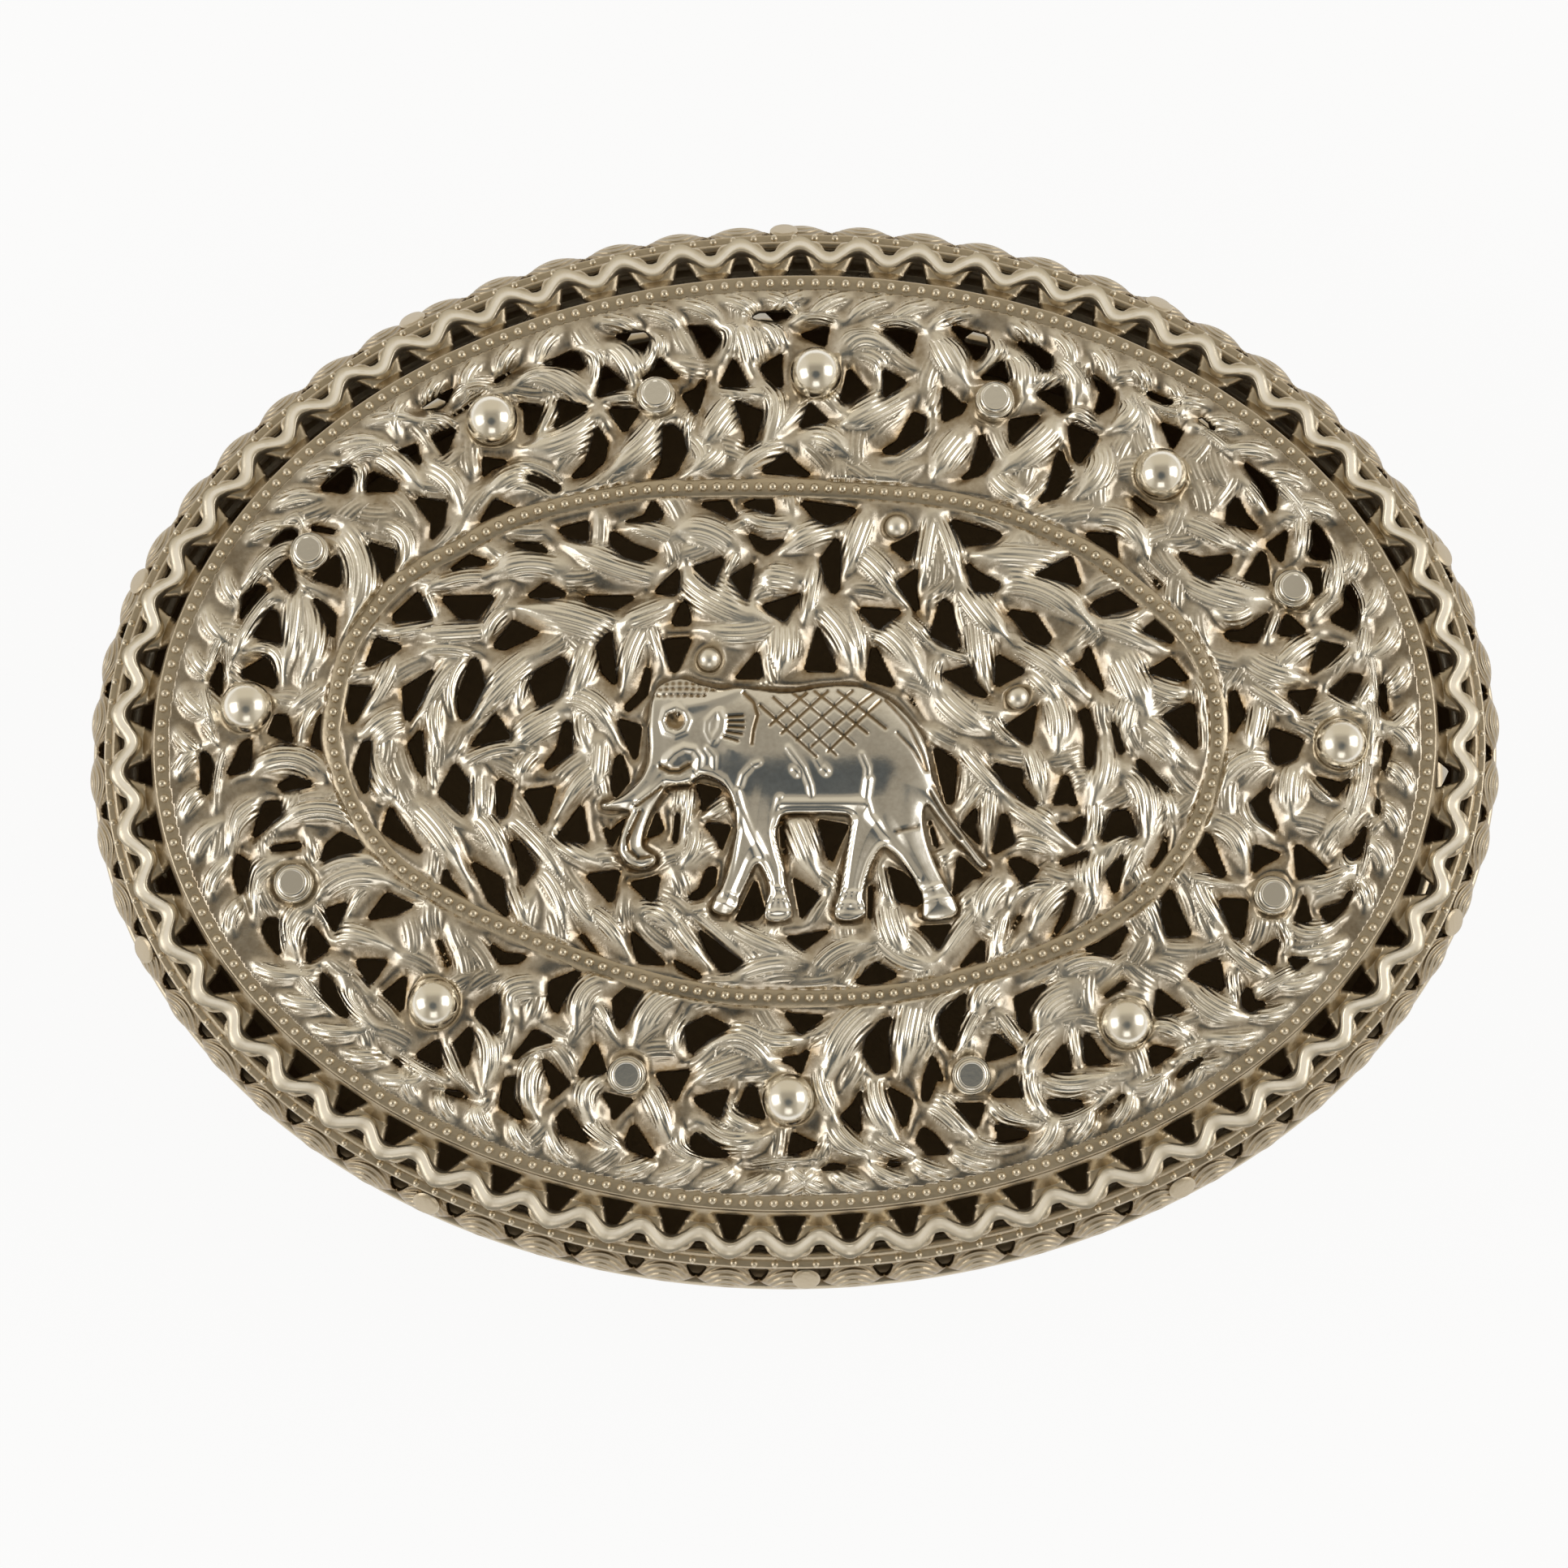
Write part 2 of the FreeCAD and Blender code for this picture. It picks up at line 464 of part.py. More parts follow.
    ((1457, 1344), (1467, 1322), (1503, 1309), (1485, 1330), (1463, 1345)),
    ((1517, 1222), (1527, 1211), (1547, 1238), (1580, 1246), (1546, 1256), (1527, 1242)),
    ((1450, 1198), (1458, 1188), (1489, 1177), (1494, 1215), (1470, 1208)),
)

# Studs, frame and elephant, read by eye from the photograph, in its pixels
BERRIES_PX = ((1000, 470), (605, 527), (308, 876), (537, 1232), (966, 1347), (1375, 1255), (1637, 920), (1420, 593))
PEGS_PX = ((805, 497), (1218, 503), (383, 687), (366, 1088), (771, 1318), (1187, 1318), (1553, 1102), (1580, 732))
BUDS_PX = ((1098, 655), (870, 815), (1245, 862))
FRAME_PX = (
    (412, 890), (428, 812), (460, 758), (500, 716), (560, 682), (640, 643), (740, 618), (832, 608),
    (1000, 608), (1150, 620), (1250, 646), (1340, 690), (1400, 738), (1450, 785), (1482, 850),
    (1488, 918), (1474, 985), (1440, 1052), (1390, 1107), (1300, 1160), (1180, 1200), (1068, 1221),
    (923, 1223), (838, 1212), (737, 1185), (627, 1142), (545, 1102), (478, 1052), (435, 990), (415, 930),
)
ELEPHANT_PX = (
    # crown, back and rump
    (804, 862), (818, 846), (850, 840), (886, 853), (905, 847), (940, 843), (985, 839), (1042, 845),
    (1062, 850), (1100, 866), (1122, 893), (1136, 922), (1143, 960), (1149, 994),
    # tail
    (1160, 1003), (1182, 1032), (1207, 1062), (1200, 1068), (1172, 1036), (1152, 1012), (1144, 1002),
    # hind legs
    (1128, 1002), (1137, 1042), (1152, 1076), (1162, 1112), (1156, 1122), (1138, 1120), (1136, 1088),
    (1112, 1060), (1090, 1052), (1074, 1048), (1058, 1088), (1057, 1128), (1022, 1128), (1030, 1085),
    (1034, 1040), (1044, 1004),
    # belly and fore legs
    (1000, 1000), (962, 1000), (949, 1001), (955, 1050), (963, 1078), (974, 1128), (944, 1129),
    (946, 1112), (931, 1070), (921, 1064), (906, 1105), (897, 1122), (880, 1120), (890, 1086),
    (897, 1050), (904, 1012), (896, 964),
    # jaw, trunk and tusk
    (848, 956), (822, 988), (803, 992), (787, 1030), (777, 1042), (778, 1052), (788, 1056), (802, 1048),
    (808, 1052), (800, 1066), (782, 1072), (762, 1064), (755, 1046), (764, 1026), (779, 1000), (783, 989),
    (746, 998), (742, 993), (775, 979), (797, 962), (789, 935), (795, 895),
)

# The panel as the photograph shows it: its middle, half sizes and turn, and the lift of the dome's middle
PHOTO_MIDDLE_PX = (974, 915.5)
PHOTO_HALF_PX = (765, 551)
PHOTO_TURN_DEGREES = 1.2
PHOTO_LIFT_SHARE = 0.018
EDGE_SHARE = 0.9
EDGE_PRESS_SHARE = 0.55

# Windows round the shoulder, lid band and base, as shares
WINDOW_BASE_SHARE = 0.74
WINDOW_TIP_SHARE = 0.08
CRESCENT_SHARES = (0.1, 0.5)
CRESCENT_REACH_SHARE = 3.1
LEAF_HOLE_SHARE = 0.62
BASE_ROW_SHARES = (0.3, 0.68)
WAVE_PHASE_SHARE = 0.24
WAVE_POINTS = 4
BERRY_SUNK_SHARE = 0.2
BUD_SUNK_SHARE = 0.25
SEAM_TURN_DEGREES = 37
OVERRUN = 4 * size("sheet")


def panel_point(pixel, z=0):
    """Plan point on the panel for a pixel of the photograph."""
    across = pixel[0] - PHOTO_MIDDLE_PX[0]
    up = PHOTO_MIDDLE_PX[1] - pixel[1]
    turn = math.radians(PHOTO_TURN_DEGREES)
    u = (across * math.cos(turn) + up * math.sin(turn)) / PHOTO_HALF_PX[0]
    v = (up * math.cos(turn) - across * math.sin(turn)) / PHOTO_HALF_PX[1]
    v -= PHOTO_LIFT_SHARE * max(0, 1 - u * u - v * v)
    reach = math.hypot(u, v)
    if reach > EDGE_SHARE:
        pressed = EDGE_SHARE + EDGE_PRESS_SHARE * (reach - EDGE_SHARE)
        u = u * pressed / reach
        v = v * pressed / reach
    inset = level(PANEL_INSET)
    return FreeCAD.Vector(u * (size("box_length") / 2 - inset), v * (size("box_width") / 2 - inset), z)


def dome(lift):
    """Everything under the dome surface of the panel's outside, raised by lift."""
    a = size("box_length") / 2 - level(PANEL_INSET)
    b = size("box_width") / 2 - level(PANEL_INSET)
    rise = size("dome_rise")
    radius = (a * a + rise * rise) / (2 * rise)
    ball = Part.makeSphere(radius)
    ball.rotate(FreeCAD.Vector(), FreeCAD.Vector(0, 1, 0), 90)
    squash = FreeCAD.Matrix()
    squash.A22 = b / a
    ball = ball.transformGeometry(squash)
    ball.translate(FreeCAD.Vector(0, 0, level(Z_PANEL) + size("sheet") + rise - radius + lift))
    return ball


def dome_height(point):
    """Height of the panel's outside over a plan point."""
    a = size("box_length") / 2 - level(PANEL_INSET)
    b = size("box_width") / 2 - level(PANEL_INSET)
    rise = size("dome_rise")
    radius = (a * a + rise * rise) / (2 * rise)
    drop = radius - math.sqrt(radius * radius - point.x ** 2 - (point.y * a / b) ** 2)
    return level(Z_PANEL) + size("sheet") + rise - drop


def over_dome(plate, relief):
    """The part of an upright prism that lies between the panel's outside and relief above it."""
    return plate.common(dome(relief)).cut(dome(0)).Solids[0]


# Base
wire_ring("foot_ring", S + "foot_inset", S + "foot_wide", "0", S + "foot_height")
floor_top = "%s + %s" % (Z_FLOOR, S + "sheet")
base_floor = loft("base_floor", [(S + "base_bottom_inset", Z_FLOOR), (S + "base_bottom_inset", floor_top)], True)
base_mid = "%s + %s * %s" % (Z_WALL, S + "base_wall_height", BASE_BULGE_SHARE)
base_sections = []
for inset, z in (("base_bottom_inset", Z_WALL), ("base_bulge_inset", base_mid), ("base_top_inset", Z_SEAT)):
    base_sections.append((S + inset, "%s + %s" % (S + inset, S + "sheet"), z))
base_plain = ring("base_plain", base_sections, False)

base_tools = []
for row, share in enumerate(BASE_ROW_SHARES):
    z = level(Z_WALL) + share * size("base_wall_height")
    half_up = size("base_hole_height") / 2
    for angle in even_angles(size("base_bulge_inset"), int(size("base_hole_count")), row / 2):
        out = outward(size("base_bulge_inset"), angle)
        start = on_oval(size("base_bottom_inset") + OVERRUN, angle, z)
        side = along(size("base_bulge_inset"), angle) * (size("base_hole_wide") / 2)
        up = FreeCAD.Vector(0, 0, half_up if row == 0 else -half_up)
        reach = out * (size("base_bottom_inset") + 2 * OVERRUN)
        base_tools.append(prism([start - side - up, start + side - up, start + up], reach))
base_wall = cut("base_wall", base_plain, coded("base_windows", Part.makeCompound(base_tools)))
wire_ring("base_seat", S + "seat_inset", S + "seat_wide", Z_SEAT, S + "seat_height")
wire_ring("base_bezel", BEZEL_INSET, S + "sheet", Z_RIM, S + "bezel_height")

# Lid band and its edge wires
wire_ring("lid_rim_wire", S + "rim_inset", S + "rim_wide", Z_RIM, S + "rim_height")
band_mid = "%s + %s * %s" % (Z_BAND, S + "band_height", BAND_BULGE_SHARE)
band_plain = ring("band_plain", [
    (S + "band_foot_inset", S + "band_foot_inset + " + S + "sheet", Z_BAND),
    ("0", S + "sheet", band_mid),
    (S + "band_top_inset", S + "band_top_inset + " + S + "sheet", Z_LOWER_BEAD),
], False)
band_tools = []
for angle in even_angles(0, int(size("wave_count")), WAVE_PHASE_SHARE + 1 / 2):
    z = level(Z_BAND) + LEAF_HOLE_SHARE * size("band_height")
    start = on_oval(size("band_top_inset") + OVERRUN, angle, z)
    side = along(0, angle) * (size("leaf_hole_wide") / 2)
    up = FreeCAD.Vector(0, 0, size("leaf_hole_height") / 2)
    reach = outward(0, angle) * (size("band_top_inset") + 2 * OVERRUN)
    band_tools.append(prism([start - side + up, start + side + up, start - up], reach))
lid_band = cut("lid_band", band_plain, coded("band_windows", Part.makeCompound(band_tools)))
wire_ring("lower_bead_wire", S + "lower_bead_inset", S + "lower_bead_wide", Z_LOWER_BEAD, S + "lower_bead_height")

# Shoulder: a low wall, a flat ledge for the wave and a slope up to the panel
low_wall = loft("shoulder_wall", [(S + "shoulder_foot_inset", Z_SHOULDER), (S + "ledge_inset", Z_LEDGE)], True)
slope = loft("shoulder_slope", [
    (S + "ledge_inset + " + S + "ledge_wide", Z_LEDGE),
    (S + "shoulder_top_inset", Z_PANEL),
], True)
shoulder_block = doc.addObject("Part::MultiFuse", "shoulder_block")
shoulder_block.Shapes = [low_wall, slope]
under_mid = "%s + %s * %s" % (Z_SHOULDER, S + "ledge_height", SHOULDER_UNDER_SHARE)
under = loft("shoulder_under", [
    (S + "shoulder_foot_inset + " + S + "sheet", Z_SHOULDER),
    (S + "shoulder_foot_inset + " + S + "sheet * %s" % SHOULDER_UNDER_INSET_SHARE, under_mid),
    (PANEL_INSET + " + " + S + "panel_seat", Z_PANEL),
], True)
shoulder_plain = cut("shoulder_plain", shoulder_block, under)

shoulder_tools = []
ledge_end = size("ledge_inset") + size("ledge_wide")
slope_run = size("shoulder_top_inset") - ledge_end
tip_inset = size("wave_inset") - size("wave_swing") + size("wave_wide") / 2 + WINDOW_TIP_SHARE * slope_run
base_inset = ledge_end + WINDOW_BASE_SHARE * slope_run
for angle in even_angles(size("wave_inset"), int(size("wave_count")), WAVE_PHASE_SHARE):
    side = along(base_inset, angle) * (size("window_wide") / 2)
    middle = on_oval(base_inset, angle, level(Z_SHOULDER) - OVERRUN)
    tip = on_oval(tip_inset, angle, level(Z_SHOULDER) - OVERRUN)
    tall = level(Z_PANEL) - level(Z_SHOULDER) + 2 * OVERRUN
    shoulder_tools.append(prism([middle - side, middle + side, tip], FreeCAD.Vector(0, 0, tall)))
for angle in even_angles(size("wave_inset"), int(size("wave_count")), WAVE_PHASE_SHARE + 1 / 2):
    foot = level(Z_SHOULDER) + CRESCENT_SHARES[0] * size("ledge_height")
    head = level(Z_SHOULDER) + CRESCENT_SHARES[1] * size("ledge_height")
    start = on_oval(size("shoulder_foot_inset") + CRESCENT_REACH_SHARE * size("sheet"), angle, head)
    side = along(size("shoulder_foot_inset"), angle) * (size("crescent_wide") / 2)
    drop = FreeCAD.Vector(0, 0, foot - head)
    reach = outward(size("shoulder_foot_inset"), angle) * (CRESCENT_REACH_SHARE * size("sheet") + OVERRUN)
    shoulder_tools.append(prism([start - side, start + side, start + drop], reach))
lid_shoulder = cut("lid_shoulder", shoulder_plain, coded("shoulder_windows", Part.makeCompound(shoulder_tools)))


# Wavy wire lying on the ledge
def wavy(inset):
    """Closed wavy line round the box about the given inset."""
    count = int(size("wave_count"))
    points = []
    for i, angle in enumerate(even_angles(size("wave_inset"), count * WAVE_POINTS, WAVE_PHASE_SHARE * WAVE_POINTS)):
        swing = size("wave_swing") * math.cos(2 * math.pi * i / WAVE_POINTS)
        points.append(on_oval(inset - swing, angle, level(Z_LEDGE)))
    curve = Part.BSplineCurve()
    curve.interpolate(Points=points, PeriodicFlag=True)
    return Part.Wire(curve.toShape())


wave_sides = [wavy(size("wave_inset") - size("wave_wide") / 2), wavy(size("wave_inset") + size("wave_wide") / 2)]
wave_plate = [Part.Face(side).extrude(FreeCAD.Vector(0, 0, size("wave_height"))) for side in wave_sides]
coded("wave_wire", wave_plate[0].cut(wave_plate[1]).Solids[0])
wire_ring("upper_bead_wire", S + "shoulder_top_inset", S + "upper_bead_wide", Z_PANEL, S + "upper_bead_height")

# Domed and pierced panel
plate_foot = level(Z_PANEL) - OVERRUN
plate_rise = FreeCAD.Vector(0, 0, size("sheet") + size("dome_rise") + size("figure_relief") + 2 * OVERRUN)
panel_a = size("box_length") / 2 - level(PANEL_INSET)
panel_b = size("box_width") / 2 - level(PANEL_INSET)
edge = Part.Ellipse(FreeCAD.Vector(0, 0, plate_foot), panel_a, panel_b)
wires = [Part.Wire(edge.toShape())]
for outline in PIERCINGS_PX:
    corners = [panel_point(pixel, plate_foot) for pixel in outline]
    wires.append(Part.makePolygon(corners + corners[:1]))
pierced = Part.Face(wires, "Part::FaceMakerBullseye").extrude(plate_rise)
coded("lid_panel", pierced.common(dome(0)).cut(dome(-size("sheet"))).Solids[0])

# Elephant and beaded frame raised on the panel
elephant = prism([panel_point(pixel, plate_foot) for pixel in ELEPHANT_PX], plate_rise)
coded("elephant_figure", over_dome(elephant, size("figure_relief")))


def frame_line(shift):
    """Closed line round the elephant, shifted outward from its traced middle."""
    middle = [panel_point(pixel, plate_foot) for pixel in FRAME_PX]
    points = []
    for i, point in enumerate(middle):
        run = middle[(i + 1) % len(middle)] - middle[i - 1]
        points.append(point + FreeCAD.Vector(-run.y, run.x, 0).normalize() * shift)
    curve = Part.BSplineCurve()
    curve.interpolate(Points=points, PeriodicFlag=True)
    return Part.Wire(curve.toShape())


frame_sides = [frame_line(size("frame_wide") / 2), frame_line(-size("frame_wide") / 2)]
frame_plate = [Part.Face(side).extrude(plate_rise) for side in frame_sides]
coded("frame_wire", over_dome(frame_plate[0].cut(frame_plate[1]), size("frame_relief")))


# Studs seated on the panel
def seated(name, pixels, stud):
    """Set of like studs, each cut to the panel's outside."""
    under_panel = dome(0)
    studs = []
    for pixel in pixels:
        foot = panel_point(pixel)
        foot.z = dome_height(foot)
        whole = stud(foot)
        standing = whole.cut(under_panel)
        if standing.Volume >= whole.Volume:
            raise RuntimeError("a stud of %s was not cut to the panel" % name)
        studs += standing.Solids
    coded(name, Part.makeCompound(studs))


def berry(foot):
    """Polished ball."""
    radius = size("berry_diameter") / 2
    middle = foot + FreeCAD.Vector(0, 0, BERRY_SUNK_SHARE * radius)
    ball = Part.makeSphere(radius, middle)
    ball.rotate(middle, FreeCAD.Vector(0, 0, 1), SEAM_TURN_DEGREES)
    return ball


def peg(foot):
    """Flat-topped peg in a low collar."""
    low = foot - FreeCAD.Vector(0, 0, OVERRUN)
    collar = Part.makeCylinder(size("peg_collar_diameter") / 2, OVERRUN + size("peg_collar_height"), low)
    pin = Part.makeCylinder(size("peg_diameter") / 2, OVERRUN + size("peg_height"), low)
    return collar.fuse(pin).removeSplitter()


def bud(foot):
    """Small round bud."""
    radius = size("bud_diameter") / 2
    return Part.makeSphere(radius, foot - FreeCAD.Vector(0, 0, BUD_SUNK_SHARE * radius))


seated("berry_studs", BERRIES_PX, berry)
seated("flower_pegs", PEGS_PX, peg)
seated("small_buds", BUDS_PX, bud)

# Flat pegs on the lid band, seated on its bulge
doc.recompute()
band_outside = doc.getObject("band_plain_outside").Shape
band_pegs = []
for angle in even_angles(0, int(size("band_peg_count")), 3 / 4 * size("band_peg_count")):
    out = outward(0, angle)
    start = on_oval(size("sheet"), angle, level(Z_BAND) + BAND_BULGE_SHARE * size("band_height"))
    pin = Part.makeCylinder(size("band_peg_diameter") / 2, size("sheet") + size("band_peg_height"), start, out)
    band_pegs += pin.cut(band_outside).Solids
coded("band_pegs", Part.makeCompound(band_pegs))

# Check every piece and write it out
NODES = (
    "foot_ring", "base_floor", "base_wall", "base_seat", "base_bezel",
    "lid_rim_wire", "lid_band", "band_pegs", "lower_bead_wire", "lid_shoulder", "wave_wire", "upper_bead_wire",
    "lid_panel", "elephant_figure", "frame_wire", "berry_studs", "flower_pegs", "small_buds",
)
doc.recompute()
for item in doc.Objects:
    if "Invalid" in item.State or "Error" in item.State:
        raise RuntimeError("%s did not build" % item.Name)
os.makedirs("parts", exist_ok=True)
for name in NODES:
    node = doc.getObject(name)
    if node is None or node.Shape.isNull() or not node.Shape.isValid() or not node.Shape.Solids:
        raise RuntimeError("%s is not a good solid" % name)
    node.Label = name
    node.Shape.exportStep("parts/%s.step" % name)
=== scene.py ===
import math
import bpy
import numpy as np
from mathutils import Matrix, Vector


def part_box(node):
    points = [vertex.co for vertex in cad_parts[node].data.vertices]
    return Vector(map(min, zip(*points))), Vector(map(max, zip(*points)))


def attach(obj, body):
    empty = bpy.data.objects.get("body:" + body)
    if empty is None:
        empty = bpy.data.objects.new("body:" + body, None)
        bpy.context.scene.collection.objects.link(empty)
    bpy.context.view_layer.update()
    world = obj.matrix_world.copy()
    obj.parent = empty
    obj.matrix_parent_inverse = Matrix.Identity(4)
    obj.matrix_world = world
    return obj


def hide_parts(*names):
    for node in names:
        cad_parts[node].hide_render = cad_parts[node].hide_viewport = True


# Looks of an oval silver box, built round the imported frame, in millimetres until a mesh is made
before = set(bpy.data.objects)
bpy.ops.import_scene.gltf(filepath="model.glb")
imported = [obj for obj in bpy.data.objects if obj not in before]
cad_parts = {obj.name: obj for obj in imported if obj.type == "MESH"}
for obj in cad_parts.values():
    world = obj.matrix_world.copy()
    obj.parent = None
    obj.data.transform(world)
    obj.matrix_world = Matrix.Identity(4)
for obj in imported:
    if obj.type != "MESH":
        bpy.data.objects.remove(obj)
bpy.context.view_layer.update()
MM = 0.001


def span(node):
    """Lowest and highest corner of a CAD node."""
    low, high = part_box(node)
    return np.array(low) / MM, np.array(high) / MM


def levels(node):
    """Foot and top height of a CAD node."""
    low, high = span(node)
    return low[2], high[2]


# Sizes read from the frame
HALF = span("lid_band")[1][:2]
PANEL = span("lid_panel")[1][:2]
DOME_TOP = levels("lid_panel")[1]
DOME_EDGE = levels("upper_bead_wire")[1]
DOME_RISE = DOME_TOP - DOME_EDGE
DOME_RADIUS = (PANEL[0] ** 2 + DOME_RISE ** 2) / (2 * DOME_RISE)


def inset_of(node):
    """How far a node's outside is set in from the box outline."""
    return HALF[0] - span(node)[1][0]


# Widths and insets that the frame's boxes don't give
SHEET = 0.9
SHOULDER_SHEET = 0.6
FOOT_WIDE = 2.6
SEAT_WIDE = 2.6
RIM_WIDE = 1.7
LOWER_BEAD_WIDE = 1.3
UPPER_BEAD_WIDE = 1.0
LEDGE_RISE = 1.4
LEDGE_END = 4.4
SHOULDER_TOP_INSET = 5.3
BAND_FOOT_INSET = 0.25
BAND_TOP_INSET = 1.55
BAND_BULGE_SHARE = 0.4
BASE_BOTTOM_INSET = 5.0
BASE_TOP_INSET = 2.4
BASE_BULGE_SHARE = 0.55
WAVES = 62
WAVE_PHASE = 0.24
WAVE_INSET = 3.05
BASE_CELLS = 31
FRAME_WIDE = 1.3

# The panel as the photograph shows it, in its pixels
PHOTO_MIDDLE_PX = np.array((974.0, 915.5))
PHOTO_HALF_PX = np.array((765.0, 551.0))
PHOTO_TURN = math.radians(1.2)
PHOTO_LIFT_SHARE = 0.018
EDGE_SHARE = 0.9
EDGE_PRESS_SHARE = 0.55
PX_PER_MM = 15.7

# Studs, frame and elephant, read from the photograph, in its pixels
BERRIES_PX = (
    (1000, 470), (605, 527), (308, 876), (537, 1232), (966, 1347), (1375, 1255), (1637, 920), (1420, 593),
)
PEGS_PX = (
    (805, 497), (1218, 503), (383, 687), (366, 1088), (771, 1318), (1187, 1318), (1553, 1102), (1580, 732),
)
BUDS_PX = ((1098, 655), (870, 815), (1245, 862))
FRAME_PX = (
    (412, 890), (428, 812), (460, 758), (500, 716), (560, 682), (640, 643), (740, 618), (832, 608),
    (1000, 608), (1150, 620), (1250, 646), (1340, 690), (1400, 738), (1450, 785), (1482, 850),
    (1488, 918), (1474, 985), (1440, 1052), (1390, 1107), (1300, 1160), (1180, 1200), (1068, 1221),
    (923, 1223), (838, 1212), (737, 1185), (627, 1142), (545, 1102), (478, 1052), (435, 990), (415, 930),
)
